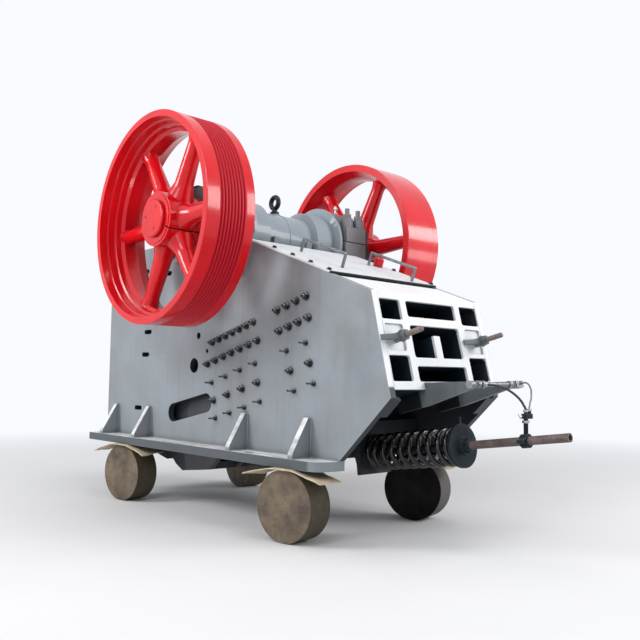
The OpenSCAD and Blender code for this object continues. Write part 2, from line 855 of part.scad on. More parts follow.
// Toggle plate and the beam it presses against
module toggle_plate() {
    run = toggle_rear[0] - toggle_front[0];
    rise = toggle_rear[1] - toggle_front[1];
    color(bare_steel) at_shaft() profile_y(-toggle_half, 2 * toggle_half)
        translate(toggle_front) rotate(atan2(rise, run)) {
            circle(r = toggle_end_r);
            translate([norm([run, rise]), 0]) circle(r = toggle_end_r);
            translate([0, -toggle_t / 2]) square([norm([run, rise]), toggle_t]);
        }
}

module toggle_beam() {
    back_high = on_face(-grid_depth - fit_gap, -grid_low + beam_web_h[1]);
    back_low = on_face(-grid_depth - fit_gap, -grid_low + beam_web_h[0]);
    x0 = toggle_rear[0] - 6;
    x1 = toggle_rear[0] + beam_run;
    z = toggle_rear[1];
    color(body_grey) at_shaft() difference() {
        union() {
            profile_y(-frame_half, 2 * frame_half) polygon([
                [x0, z + beam_nose[0]], [x0, z + beam_nose[1]],
                [x1, z + beam_back[1]], [x1, z + beam_back[0]]
            ]);
            for (s = [-1, 1]) profile_y(s * beam_web_y - beam_web_t / 2, beam_web_t) polygon([
                [x1 - 1, z + beam_back[1] - 5], back_high, back_low, [x1 - 1, z + beam_web_t]
            ]);
        }
        translate([toggle_rear[0], 0, z]) round_y(toggle_end_r + 0.3, -inner - 1, 2 * inner + 2);
    }
}

// Bearing housings with their caps and bolts
module bearing_housing() {
    mid_y = housing_in + housing_w / 2;
    color(body_grey) at_shaft() difference() {
        union() {
            translate([-housing_half, -housing_out, -seat_drop])
                cube([2 * housing_half, housing_w, seat_drop - cap_joint]);
            round_y(cap_r, -housing_out + cap_in, housing_w - 2 * cap_in);
            translate([-housing_half, -housing_out + cap_in, cap_joint])
                cube([2 * housing_half, housing_w - 2 * cap_in, cap_flange_h]);
            round_y(seal_ring_r, -housing_out - cover_ring_t, housing_w + 2 * cover_ring_t);
            for (x = [-cap_bolt_x, cap_bolt_x], y = [-cap_bolt_y, cap_bolt_y])
                translate([x, -mid_y + y, cap_joint]) {
                    cylinder(r = cap_boss_r, h = cap_bolt_h);
                    translate([0, 0, cap_bolt_h]) cylinder(r = cap_nut[0], h = cap_nut[1], $fn = 6);
                    cylinder(r = cap_stud[0], h = cap_bolt_h + cap_stud[1]);
                }
        }
        translate([-cap_r - 1, -housing_out - 30, -cap_r - 100])
            cube([2 * cap_r + 2, housing_w + 60, cap_r + 100 - seat_drop]);
        round_y(shaft_d / 2 + running_fit, -housing_out - 30, housing_w + 60);
    }
}

module bearing_housing_left() {
    bearing_housing();
}

module bearing_housing_right() {
    other_side() bearing_housing();
}

// Pitman hanging from the eccentric
module pitman_web(y0, w) {
    profile_y(y0, w) polygon([
        [-swing_top + web_front, -jaw_top - 20], [-barrel_r, -throw], [drum_r - 12, -throw - 20],
        web_neck, web_waist, [foot_back, foot_high], [foot_back, foot_low],
        keel[0], keel[1], keel[2], [-swing_low + web_front, -swing_z]
    ]);
}

module pitman_foot(half_w) {
    profile_y(-half_w, 2 * half_w) {
        polygon([
            [-swing_low + foot_seat[0], foot - 10], [foot_knee, foot_high], [foot_back, foot_high],
            [foot_back, foot_low], [foot_knee, foot_low - 35], [-swing_low + foot_seat[1], -swing_z]
        ]);
        polygon([
            keel[0], keel[1], keel[2], [keel[2][0] - 30, keel[2][1] + 65],
            [keel[2][0] + 20, keel[2][1] + 70], [keel[1][0] + 15, keel[1][1] + 55],
            [keel[0][0], keel[0][1] + 55]
        ]);
    }
}

module pitman() {
    web_half = jaw_half - 6;
    pin = [rod_pin[0], rod_pin[1] - throw];
    color(body_grey) {
        difference() {
            union() {
                at_shaft() translate([0, 0, -throw]) {
                    rotate([-90, 0, 0]) rotate_extrude($fn = 96) polygon(barrel_profile);
                    cylinder(r = eye_boss_r, h = barrel_r + eye_boss_h);
                }
                at_swing() {
                    translate([jaw_t, -jaw_half, -50]) cube([100, 2 * jaw_half, swing_len + 30]);
                    translate([30, -jaw_half, -50]) cube([jaw_t, 2 * jaw_half, 50]);
                }
                at_shaft() {
                    for (y = [-web_half, web_inner[0], web_inner[1], web_half - web_t]) pitman_web(y, web_t);
                    pitman_foot(web_half - 4);
                    profile_y(-jaw_half + 8, 2 * jaw_half - 16) polygon([
                        [-swing_top + head_in[0], -jaw_top - 8], [-barrel_r + 20, head_z[0]],
                        [-barrel_r + 60, head_z[1]], [-swing_top + head_in[1], head_z[2]]
                    ]);
                    for (y = [-rod_lug_y - lug_t, rod_lug_y]) {
                        translate([pin[0], 0, pin[1]]) round_y(pin_boss_r, y, lug_t);
                        profile_y(y, lug_t) polygon([
                            [lug_root, foot_low], [foot_back - 4, foot_low + 10],
                            [pin[0] + 20, pin[1] + 54], [pin[0] - 30, pin[1] - 49]
                        ]);
                    }
                }
            }
            at_shaft() {
                translate([0, 0, -throw]) round_y(eccentric_d / 2 + running_fit, -half, body_w);
                translate([toggle_front[0], 0, toggle_front[1] - throw])
                    round_y(toggle_end_r + throw + run_gap, -half, body_w);
                translate([pin[0], 0, pin[1]])
                    round_y(rod_pin_r + 2 * throw + 2 * run_gap + 26, -rod_lug_y, 2 * rod_lug_y);
            }
        }
        at_shaft() translate([pin[0], 0, pin[1]])
            round_y(rod_pin_r, -rod_lug_y - lug_t - 10, 2 * (rod_lug_y + lug_t + 10));
    }
}

module lifting_eye() {
    color(dark_steel) at_shaft() translate([0, 0, barrel_r + eye_boss_h - throw]) {
        cylinder(r = eye_boss_r - 8, h = 20);
        translate([0, 0, 18]) cylinder(r1 = 24, r2 = 17, h = 40);
        translate([0, 0, eye_ring_r + 50]) rotate([90, 0, 0]) rotate_extrude()
            translate([eye_ring_r, 0]) circle(r = eye_bar_r);
    }
}

// Eccentric shaft
module eccentric_shaft() {
    color(bare_steel) at_shaft() {
        translate([0, 0, -throw]) round_y(eccentric_d / 2, -barrel_half, 2 * barrel_half);
        for (s = [0, 1]) mirror([0, s, 0]) {
            round_y(shaft_d / 2, barrel_half - 1, housing_out + cover_ring_t - barrel_half + 1);
            round_y(shaft_end_r, housing_out, hub_out - housing_out);
        }
    }
}

// Flywheels
module rim_section(grooves) {
    r = wheel_d / 2;
    first = groove_mid - groove_pitch * grooves / 2;
    polygon(concat(
        [for (p = rim_inside) [r - p[0], wheel_in + p[1]]],
        [[r - 4, wheel_out], [r, wheel_out - 4]],
        grooves == 0 ? [] : [for (i = [grooves - 1 : -1 : 0], s = groove_side)
            [r - 2 - groove_depth * s[1], first + groove_pitch * (i + s[0])]],
        [[r, wheel_in + 4], [r - 4, wheel_in]]
    ));
}

module flywheel(grooves) {
    spoke_y = wheel_in + spoke_set;
    reach = wheel_d / 2 - rim_t - 35;
    root = hub_r - 30;
    color(wheel_red) at_shaft() difference() {
        union() {
            rotate([90, 0, 0]) rotate_extrude($fn = 120) rim_section(grooves);
            round_y(hub_r, -hub_out, hub_out - wheel_in);
            round_y(hub_r - 20, -hub_out - 6, 10);
            for (i = [0 : spoke_count - 1]) translate([0, -spoke_y, 0])
                rotate([0, -spoke_phase - i * 360 / spoke_count + 90, 0])
                    translate([0, 0, root]) {
                        cylinder(r1 = spoke_r, r2 = spoke_tip_r, h = reach - root, $fn = 48);
                        cylinder(r1 = spoke_r + 34, r2 = spoke_r - 8, h = 120, $fn = 48);
                        translate([0, 0, reach - root - 105])
                            cylinder(r1 = spoke_tip_r, r2 = spoke_tip_r + 20, h = 105, $fn = 48);
                    }
        }
        round_y(shaft_end_r, -wheel_out, wheel_w + 10);
        rotate([0, -spoke_phase + 180 / spoke_count, 0])
            translate([shaft_end_r - 10, -hub_out - 10, -split_w / 2])
                cube([hub_r, hub_out - wheel_in + 20, split_w]);
    }
}

module flywheel_left() {
    flywheel(groove_count);
}

module flywheel_right() {
    other_side() flywheel(0);
}

module hub_cover() {
    color(wheel_red) at_shaft() difference() {
        translate([0, -hub_out - 6, 0]) rotate([90, 0, 0]) rotate_extrude() polygon([
            [0, 0], [hub_cover_r, 0], [hub_cover_r, hub_cover_t - 8],
            [hub_cover_r - 8, hub_cover_t], [0, hub_cover_t]
        ]);
        for (a = [52, 172, 292]) rotate([0, -a, 0])
            translate([hub_cover_r - 48, 0, 0]) round_y(15, -hub_out - 7 - hub_cover_t, 14);
    }
}

module hub_cover_left() {
    hub_cover();
}

module hub_cover_right() {
    other_side() hub_cover();
}

// Covers over the sloping top
module top_cover(y0, w) {
    x0 = (cover_front - rear_run) / cos(top_slope);
    x1 = (cover_rear - rear_run) / cos(top_slope);
    color(light_grey) at_slope() translate([x0, y0, fit_gap]) cube([x1 - x0, w, cover_t]);
}

module top_cover_left() {
    top_cover(-half, half - 2);
}

module top_cover_right() {
    top_cover(2, half - 2);
}

module cover_handle(x, y) {
    color(dark_steel) at_slope() translate([(x - rear_run) / cos(top_slope), y, cover_t + fit_gap]) {
        for (u = [0, handle_span]) translate([u, 0, 0]) {
            cylinder(r = handle_r, h = handle_h);
            translate([0, 0, handle_h]) sphere(r = handle_r);
        }
        translate([0, 0, handle_h]) rotate([0, 90, 0]) cylinder(r = handle_r, h = handle_span);
    }
}

module cover_handle_left() {
    cover_handle(handle_left_at[0], handle_left_at[1]);
}

module cover_handle_right() {
    cover_handle(handle_right_at[0], handle_right_at[1]);
}

module filler_neck() {
    at_slope() translate([(neck_at[0] - rear_run) / cos(top_slope), neck_at[1], cover_t + fit_gap]) {
        color(light_grey) cylinder(r = neck_r, h = neck_h);
        color(wheel_red) translate([0, 0, neck_h - 2]) cylinder(r1 = neck_r - 5, r2 = neck_r - 14, h = 26);
    }
}

// Rows of bolts in the side plates
module bolt_row(x, z, step, count, bolt) {
    for (i = [0 : count - 1])
        translate([x + i * step * cos(bolt_slope), -half, z + i * step * sin(bolt_slope)])
            rotate([90, 0, 0]) {
                cylinder(r = bolt[0], h = bolt[1], $fn = 6);
                cylinder(r = bolt[2], h = bolt[3]);
            }
}

module side_bolts() {
    color(dark_steel) at_shaft() {
        for (i = [0, 1])
            bolt_row(long_row_at[i][0], long_row_at[i][1], long_row_step[i], long_row_count, heavy_bolt);
        for (i = [0 : 2])
            bolt_row(cheek_row_at[0] + cheek_row_shift * i, cheek_row_at[1] - row_gap * i,
                cheek_step, cheek_row_count, i == 1 ? heavy_bolt : slim_bolt);
        for (i = [0, 1])
            bolt_row(top_row_at[0] + top_row_shift * i, top_row_at[1] - top_row_drop * i,
                top_step, 4, heavy_bolt);
        for (i = [0 : 2])
            bolt_row(end_row_at[0] + end_row_shift * i, end_row_at[1] - row_gap * i,
                end_step, 2, i == 1 ? heavy_bolt : slim_bolt);
    }
}

module side_bolts_left() {
    side_bolts();
}

module side_bolts_right() {
    other_side() side_bolts();
}

// Support drums and the packing between them and the base
module at_support(x, side, turn) {
    at_shaft() translate([x, side * drum_y, -flange_low]) rotate([0, 0, turn]) children();
}

module support_drum(x, side, turn) {
    color(drum_brown) at_support(x, side, turn) translate([0, 0, -sheet_t - drum_d / 2])
        round_y(drum_d / 2, -drum_w / 2, drum_w);
}

module support_drum_front_left() {
    support_drum(drum_front, -1, drum_turn);
}

module support_drum_front_right() {
    support_drum(drum_front, 1, -drum_turn / 2);
}

module support_drum_rear_left() {
    support_drum(drum_rear, -1, drum_turn);
}

module support_drum_rear_right() {
    support_drum(drum_rear, 1, 2 * drum_turn);
}

module packing_sheets() {
    color(sheet_brown) for (x = [drum_front, drum_rear], s = [-1, 1]) at_support(x, s, s < 0 ? drum_turn : 0)
        translate([0, s * sheet_shift, 0]) profile_y(-sheet_w / 2, sheet_w) polygon([
            [-sheet_half, -sheet_droop], [-70, 0], [70, 0], [sheet_half, -sheet_droop],
            [sheet_half, -sheet_droop - sheet_t], [70, -sheet_t], [-70, -sheet_t],
            [-sheet_half, -sheet_droop - sheet_t]
        ]);
}

side_plate_left();
side_plate_right();
base_rail_left();
base_rail_right();
front_wall();
fixed_jaw_plate();
cheek_plate_left();
cheek_plate_right();
rear_frame();
lock_rod_left();
lock_rod_right();
support_arm_left();
support_arm_right();
hydraulic_pipe();
hydraulic_hose();
return_hose();
rod_clamp();
tension_rod();
tension_spring();
spring_seat();
spring_bracket();
toggle_plate();
toggle_beam();
bearing_housing_left();
bearing_housing_right();
pitman();
swing_jaw_plate();
lifting_eye();
eccentric_shaft();
flywheel_left();
flywheel_right();
hub_cover_left();
hub_cover_right();
top_cover_left();
top_cover_right();
cover_handle_left();
cover_handle_right();
filler_neck();
side_bolts_left();
side_bolts_right();
support_drum_front_left();
support_drum_front_right();
support_drum_rear_left();
support_drum_rear_right();
packing_sheets();
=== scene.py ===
# %% [markdown]
# # A jaw crusher on four round supports
# The machine breaks rock between a fixed and a moving jaw. Two heavy flywheels turn an eccentric shaft,
# and a spring at the rear end holds the moving jaw back against its toggle plate.
# The CAD pieces come in first. They are the fixed frame, so every new piece is measured from them.

# %% Load the CAD pieces
import bpy, json, math
from mathutils import Matrix, Vector, noise


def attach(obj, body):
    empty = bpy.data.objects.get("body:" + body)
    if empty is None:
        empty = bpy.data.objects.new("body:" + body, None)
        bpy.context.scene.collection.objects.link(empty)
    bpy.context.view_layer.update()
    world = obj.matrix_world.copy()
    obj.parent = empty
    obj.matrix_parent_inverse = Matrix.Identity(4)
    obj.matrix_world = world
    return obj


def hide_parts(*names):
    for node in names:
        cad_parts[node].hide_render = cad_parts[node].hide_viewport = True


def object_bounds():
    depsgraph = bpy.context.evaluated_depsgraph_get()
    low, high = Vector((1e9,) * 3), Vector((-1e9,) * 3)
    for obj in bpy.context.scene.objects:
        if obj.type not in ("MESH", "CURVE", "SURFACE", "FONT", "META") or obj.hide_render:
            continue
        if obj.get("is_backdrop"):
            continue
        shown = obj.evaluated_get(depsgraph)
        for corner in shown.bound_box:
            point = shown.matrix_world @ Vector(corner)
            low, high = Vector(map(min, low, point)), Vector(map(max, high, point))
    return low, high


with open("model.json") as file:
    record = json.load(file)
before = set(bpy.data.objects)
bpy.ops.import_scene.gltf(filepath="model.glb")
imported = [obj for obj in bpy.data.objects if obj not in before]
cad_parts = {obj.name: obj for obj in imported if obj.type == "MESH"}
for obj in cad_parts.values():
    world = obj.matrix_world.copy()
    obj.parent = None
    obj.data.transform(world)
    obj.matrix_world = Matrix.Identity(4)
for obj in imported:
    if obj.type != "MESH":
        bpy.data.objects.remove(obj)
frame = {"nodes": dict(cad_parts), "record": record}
cad_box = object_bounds()
nodes = frame["nodes"]
print("loaded", len(nodes), "pieces")

# %% [markdown]
# Four lines of the machine place everything else: the shaft line, the leaning face of the rear frame,
# the slope of the top covers and the rising tension rod. Each is a frame of its own, a matrix with its
# origin and its turn, so that a bolt or a nut is placed in the numbers that a fitter would use.

# %% The machine's own lines
shaft_x, shaft_h = -0.43384, 2.125
corner_drop = 0.57840
rear_lean, top_slope, rod_rise = math.radians(14), math.radians(20.5), math.radians(7.8)

def at(x, y, z):
    return Matrix.Translation((x, y, z))

def turn_y(angle):
    return Matrix.Rotation(angle, 4, "Y")

shaft_line = at(shaft_x, 0, shaft_h)
frame_face = shaft_line @ at(1.576, 0, -corner_drop) @ turn_y(-rear_lean)
cover_slope = shaft_line @ at(1.576, 0, -corner_drop) @ turn_y(top_slope)
rod_line = shaft_line @ at(1.826, 0, -1.502) @ turn_y(-rod_rise)
print("rear corner at", frame_face.translation)

# %% [markdown]
# ## Camera
# The picture is taken from behind and to the left, about a metre above the floor, looking slightly up.
# A 42 mm lens on a 36 mm sensor gives the same perspective as the machine has in the photograph.

# %% Camera
azimuth, pitch, roll = math.radians(47.35), math.radians(4.62), math.radians(0.684)
camera_from_shaft = (4.59907, -3.72751, -1.09178)
focal_length, sensor_width, picture_shift = 41.98, 36, -4 / 640

look = Vector((-math.sin(azimuth) * math.cos(pitch), math.cos(azimuth) * math.cos(pitch), math.sin(pitch)))
across = Vector((math.cos(azimuth), math.sin(azimuth), 0))
upward = across.cross(look)
right = across * math.cos(roll) + upward * math.sin(roll)
top = -across * math.sin(roll) + upward * math.cos(roll)

bpy.ops.object.camera_add()
camera = bpy.context.object
camera.name = "photo_camera"
camera.matrix_world = shaft_line @ at(*camera_from_shaft) @ Matrix((right, top, -look)).transposed().to_4x4()
camera.data.lens = focal_length
camera.data.sensor_width = sensor_width
camera.data.shift_y = picture_shift
bpy.context.scene.camera = camera
bpy.context.scene.view_settings.view_transform = "Standard"
print("camera at", camera.location)

# %% [markdown]
# ## Light
# One large lamp lights the rear end, one the tops and two the near side. Two windows beyond the far
# flywheel lay pale bands over its rim. Two small lamps, one close to the camera and one to its left,
# put glints on the turns of the black spring.

# %% Lamps
def lamp(name, place, target, size, power):
    bpy.ops.object.light_add(type="AREA", location=place)
    light = bpy.context.object
    light.name = name
    light.data.size = size
    light.data.energy = power
    light.rotation_euler = (Vector(target) - Vector(place)).to_track_quat("-Z", "Y").to_euler()

# Each row has a name, a place, the point it is aimed at, the width of the lamp in metres, and its watts.
lamps = [
    ("rear_lamp", (5.6, 3.6, 4.2), (0.8, 0, 1.6), 2.6, 205),
    ("top_lamp", (1.2, -0.6, 6.8), (0.3, 0, 1.8), 3.0, 105),
    ("near_lamp", (-3.6, -6.2, 4.6), (-0.6, 0, 1.4), 2.4, 285),
    ("fill_lamp", (2.2, -6.6, 5.4), (-0.3, -0.4, 1.7), 2.6, 165),
    ("high_window", (3.85, 5.70, 4.10), (0.31, 0.96, 2.10), 1.3, 55),
    ("low_window", (3.60, 4.80, 1.90), (0.31, 0.96, 2.02), 0.8, 11),
    ("spring_glint", (3.60, -2.20, 1.90), (0.90, -0.10, 0.60), 0.35, 6),
    ("coil_glint", (-1.00, -5.00, 1.00), (1.20, -0.10, 0.60), 0.3, 5),
]
for row in lamps:
    lamp(*row)
print("placed", len(lamps), "lamps")

# %% [markdown]
# ## Hall and floor
# A nearly white hall and a pale floor stand in for the workshop. The hall is at full strength only where
# it is seen, by the camera or in a gloss, so it does not wash out the paint.

# %% Hall and floor
hall_white, hall_light, hall_seen = (0.94, 0.96, 1.0, 1), 0.42, 1.0

def seen(tree):
    """1 for the rays that show the hall itself: from the camera, off a gloss or through glass."""
    rays = tree.nodes.new("ShaderNodeLightPath")
    total = rays.outputs["Is Camera Ray"]
    for kind in ("Is Glossy Ray", "Is Transmission Ray"):
        both = tree.nodes.new("ShaderNodeMath")
        both.use_clamp = True
        tree.links.new(total, both.inputs[0])
        tree.links.new(rays.outputs[kind], both.inputs[1])
        total = both.outputs[0]
    return total

hall = bpy.data.worlds.new("hall")
bpy.context.scene.world = hall
hall.use_nodes = True
sky = hall.node_tree.nodes["Background"]
sky.inputs["Color"].default_value = hall_white
level = hall.node_tree.nodes.new("ShaderNodeMix")
level.inputs["A"].default_value = hall_light
level.inputs["B"].default_value = hall_seen
hall.node_tree.links.new(seen(hall.node_tree), level.inputs["Factor"])
hall.node_tree.links.new(level.outputs["Result"], sky.inputs["Strength"])

bpy.ops.mesh.primitive_plane_add(size=60, location=(0, 0, 0))
floor = bpy.context.object
floor.name = "floor"
floor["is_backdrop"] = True
print("hall and floor ready")

# %% [markdown]
# ## Materials
# Every finish is a small node tree on Object coordinates, so its grain has a real size in metres.
# One helper makes the tree, one adds noise, and one mixes two colours by a mask.

# %% Helpers for materials
class Finish:
    """A material under construction: its node tree and its shader."""

    def __init__(self, name, roughness=0.5, metallic=0.0):
        self.material = bpy.data.materials.new(name)
        self.material.use_nodes = True
        self.tree = self.material.node_tree
        self.shader = self.tree.nodes["Principled BSDF"]
        self.shader.inputs["Roughness"].default_value = roughness
        self.shader.inputs["Metallic"].default_value = metallic
        self.place = self.tree.nodes.new("ShaderNodeTexCoord").outputs["Object"]

    def node(self, kind, **settings):
        made = self.tree.nodes.new(kind)
        for key, value in settings.items():
            setattr(made, key, value)
        return made

    def join(self, source, socket):
        self.tree.links.new(source, socket)

    def stretched(self, scale):
        """Coordinates for a grain that is drawn out along one axis."""
        mapping = self.node("ShaderNodeMapping")
        mapping.inputs["Scale"].default_value = scale
        self.join(self.place, mapping.inputs["Vector"])
        return mapping.outputs["Vector"]

    def along(self, line, axis):
        """How far a point lies along one axis of a machine line, in metres."""
        way = line.col[axis].to_3d()
        dot = self.node("ShaderNodeVectorMath", operation="DOT_PRODUCT")
        dot.inputs[1].default_value = way
        self.join(self.place, dot.inputs[0])
        made = self.node("ShaderNodeMath", operation="SUBTRACT")
        made.inputs[1].default_value = line.translation.dot(way)
        self.join(dot.outputs["Value"], made.inputs[0])
        return made.outputs[0]

    def inboard(self, near, far):
        """How far inside the machine a point lies, between two distances from its middle plane."""
        split = self.node("ShaderNodeSeparateXYZ")
        self.join(self.place, split.inputs[0])
        size = self.node("ShaderNodeMath", operation="ABSOLUTE")
        self.join(split.outputs["Y"], size.inputs[0])
        return self.ramp(size.outputs[0], near, far)

    def facing(self, axis, low, high):
        """1 where the surface faces along an axis."""
        split = self.node("ShaderNodeSeparateXYZ")
        self.join(self.node("ShaderNodeNewGeometry").outputs["Normal"], split.inputs[0])
        return self.ramp(split.outputs[axis], low, high)

    def noise(self, scale, detail=4, place=None, roughness=0.55):
        made = self.node("ShaderNodeTexNoise")
        made.inputs["Scale"].default_value = scale
        made.inputs["Detail"].default_value = detail
        made.inputs["Roughness"].default_value = roughness
        self.join(place or self.place, made.inputs["Vector"])
        return made.outputs["Fac"]

    def ramp(self, source, low, high, start=0.0, end=1.0):
        """From start to end while the source goes from low to high."""
        made = self.node("ShaderNodeMapRange", clamp=True)
        for key, value in (("From Min", low), ("From Max", high), ("To Min", start), ("To Max", end)):
            made.inputs[key].default_value = value
        self.join(source, made.inputs["Value"])
        return made.outputs["Result"]

    def times(self, a, b):
        made = self.node("ShaderNodeMath", operation="MULTIPLY")
        self.join(a, made.inputs[0])
        if isinstance(b, float):
            made.inputs[1].default_value = b
        else:
            self.join(b, made.inputs[1])
        return made.outputs[0]

    def mix(self, mask, first, second):
        """The first colour where the mask is 0, the second where it is 1."""
        made = self.node("ShaderNodeMix", data_type="RGBA")
        self.join(mask, made.inputs["Factor"])
        for socket, colour in ((made.inputs["A"], first), (made.inputs["B"], second)):
            if isinstance(colour, tuple):
                socket.default_value = (*colour, 1)
            else:
                self.join(colour, socket)
        return made.outputs["Result"]

    def edges(self, radius=0.006):
        """1 along the edges, where a rounded normal leaves the flat one."""
        bevel = self.node("ShaderNodeBevel", samples=4)
        bevel.inputs["Radius"].default_value = radius
        plain = self.node("ShaderNodeNewGeometry")
        dot = self.node("ShaderNodeVectorMath", operation="DOT_PRODUCT")
        self.join(bevel.outputs["Normal"], dot.inputs[0])
        self.join(plain.outputs["Normal"], dot.inputs[1])
        return self.ramp(dot.outputs["Value"], 0.97, 0.80)

    def corners(self, distance=0.06):
        """1 in the corners, where surfaces near by keep the light off."""
        shade = self.node("ShaderNodeAmbientOcclusion", samples=6)
        shade.inputs["Distance"].default_value = distance
        return self.ramp(shade.outputs["AO"], 0.85, 0.45)

    def colour(self, source):
        self.join(source, self.shader.inputs["Base Color"])

    def rough(self, source):
        self.join(source, self.shader.inputs["Roughness"])

    def bump(self, source, height, strength=1.0):
        made = self.node("ShaderNodeBump")
        made.inputs["Strength"].default_value = strength
        made.inputs["Distance"].default_value = height
        self.join(source, made.inputs["Height"])
        self.join(made.outputs["Normal"], self.shader.inputs["Normal"])

print("finish helpers ready")

# %% [markdown]
# The body is brushed with a mid grey machine paint. It has large cloudy patches, thin runs of dirt,
# painted shade in the corners, a little orange peel, and a painted highlight along the edges.

# %% Machine paint
def machine_paint(name, base, dirty, pale, dirt_amount, tones=None):
    """Brushed paint in three colours, the last a painted highlight for the edges. A piece's own wear, painted
    shade and painted light come on top, from the function tones.
    """
    paint = Finish(name)
    paint.shader.inputs["Specular IOR Level"].default_value = 0.3
    clouds = paint.ramp(paint.noise(2.2, 6), 0.35, 0.7)
    streaks = paint.ramp(paint.noise(1.0, 3, paint.stretched((16, 16, 1.1))), 0.52, 0.75)
    corner_shade = tuple(c * 0.35 for c in dirty)
    tone = paint.mix(paint.times(clouds, dirt_amount), base, dirty)
    tone = paint.mix(paint.times(streaks, dirt_amount * 0.8), tone, dirty)
    # Painted shade in the corners, and a painted highlight along the edges.
    tone = paint.mix(paint.times(paint.corners(), 0.55), tone, corner_shade)
    tone = paint.mix(paint.times(paint.edges(), 0.6), tone, pale)
    paint.colour(tones(paint, tone) if tones else tone)
    paint.rough(paint.ramp(paint.noise(6, 5), 0.3, 0.7, 0.36, 0.58))
    paint.bump(paint.noise(240, 2), 0.0006, 0.35)
    return paint.material

print("machine paint ready")

# %% [markdown]
# Each painted piece has its own wear, painted shade and painted light. Its function mixes further tones over
# the paint by masks: a height over the floor, a distance from the middle plane, or a place along a line of the
# machine.

# %% Wear, painted shade and painted light of the painted pieces
grey, dull, bright = (0.27, 0.305, 0.335), (0.20, 0.205, 0.20), (0.50, 0.54, 0.57)
white, dust_and_light, smoky = (0.80, 0.82, 0.84), (0.78, 0.79, 0.80), (0.10, 0.095, 0.10)
# The near-black tone is old grease on the bearing caps and painted shade elsewhere; black is painted shade at
# the roots of the arms.
oil_and_shade, black = (0.014, 0.019, 0.024), (0.006, 0.009, 0.012)
# Places in metres: outer face of a side plate, outer edge of the base, its underside, end of a bearing cap.
plate_face, base_edge, base_low, cap_end = 0.535, 0.697, 0.457, 0.702
plate_front, low_top_edge, cell_rim = -2.05, 1.30, -0.014
ground = at(0, 0, 0)

def body_tones(paint, tone):
    """Smoky patches below the covers, and painted shade, near black, on all that hangs below the base."""
    cloud = paint.ramp(paint.noise(1.7, 4), 0.42, 0.66)
    band = paint.ramp(paint.along(cover_slope, 2), -0.75, -0.25)
    tone = paint.mix(paint.times(paint.times(cloud, band), 0.5), tone, smoky)
    # Painted shade: all below the base is near black.
    return paint.mix(paint.ramp(paint.along(ground, 2), base_low, base_low - 0.007), tone, oil_and_shade)

def side_tones(paint, tone):
    """A side plate has painted shade in its openings and on its inside, and a painted white highlight along the
    rear frame.
    """
    painted = body_tones(paint, tone)
    # Painted shade on the inner faces and in the openings.
    inside = paint.inboard(plate_face - 0.0015, plate_face - 0.006)
    tone = paint.mix(paint.times(inside, 0.93), painted, oil_and_shade)
    high = paint.ramp(paint.along(ground, 2), low_top_edge, low_top_edge + 0.01)
    ahead = paint.ramp(paint.along(ground, 0), plate_front, plate_front - 0.01)
    top_edge = paint.times(paint.facing("Z", 0.35, 0.5), high)
    front_edge = paint.times(paint.facing("X", -0.5, -0.8), ahead)
    for outline in (top_edge, front_edge):
        tone = paint.mix(outline, tone, painted)
    # Painted highlight: a white band on the plate's rear edge at the frame.
    out, up = paint.along(frame_face, 0), paint.along(frame_face, 2)
    edge = paint.times(paint.ramp(out, cell_rim, -0.008), paint.ramp(up, -0.592, -0.580))
    return paint.mix(paint.times(edge, paint.inboard(plate_face - 0.0005, plate_face - 0.003)), tone, white)

def cap_tones(paint, tone):
    """The outer end of a bearing housing is black with old grease."""
    return paint.mix(paint.times(paint.inboard(cap_end - 0.012, cap_end), 0.9), body_tones(paint, tone), oil_and_shade)

def barrel_tones(paint, tone):
    """The moving jaw's frame is clean round the shaft, and near black with painted shade inside the machine."""
    return paint.mix(paint.ramp(paint.along(shaft_line, 2), -0.50, -0.85), tone, (0.030, 0.036, 0.042))

def arm_tones(paint, tone):
    """The inner ends of the support arms are painted black, as shade under the rear frame."""
    root = paint.ramp(paint.along(frame_face, 0), -0.045, -0.060)
    return paint.mix(paint.times(root, 0.95), tone, black)

def rail_tones(paint, tone):
    """Pale dust and painted light lie on the top of the base and on the slopes of its ribs. The base's outer
    edge is darker, and the faces looking down have painted shade.
    """
    dust = paint.ramp(paint.noise(4, 4, paint.stretched((1.0, 5, 1.0))), 0.38, 0.56, 0.35, 1.0)
    tone = paint.mix(paint.times(paint.inboard(base_edge - 0.007, base_edge), 0.65), tone, oil_and_shade)
    # Dust with painted light on the faces that look up.
    tone = paint.mix(paint.times(paint.facing("Z", 0.30, 0.45), dust), tone, dust_and_light)
    # Painted shade on the faces that look down.
    return paint.mix(paint.facing("Z", -0.4, -0.8), tone, oil_and_shade)

def frame_tones(paint, tone):
    """The deep cells have painted shade and are dull inside, and the bosses that stand out of the face are
    grey.
    """
    out, up = paint.along(frame_face, 0), paint.along(frame_face, 2)
    inside = paint.times(paint.ramp(out, cell_rim, -0.020), paint.ramp(up, cell_rim, -0.020))
    paint.join(paint.ramp(inside, 0, 1, 0.3, 0.02), paint.shader.inputs["Specular IOR Level"])
    # Painted shade in the cells, darker the deeper in.
    dark = paint.mix(paint.ramp(out, -0.02, -0.25), (0.016, 0.026, 0.038), (0.005, 0.009, 0.016))
    tone = paint.mix(inside, tone, dark)
    return paint.mix(paint.ramp(out, 0.002, 0.006), tone, (0.145, 0.160, 0.180))

print("wear of the painted pieces ready")

# %% [markdown]
# One paint serves all plates of a kind. Its three colours are the clean paint, the dirt on it and the
# painted highlight of the edges, then comes the amount of dirt. The barrel has a thin gloss coat, since it was
# painted last.

# %% The paints
body_paint = machine_paint("body_paint", grey, dull, bright, 0.55, body_tones)
side_paint = machine_paint("side_paint", grey, dull, bright, 0.55, side_tones)
cap_paint = machine_paint("cap_paint", (0.25, 0.265, 0.29), dull, bright, 0.5, cap_tones)
rail_paint = machine_paint("rail_paint", (0.23, 0.265, 0.29), dull, bright, 0.4, rail_tones)
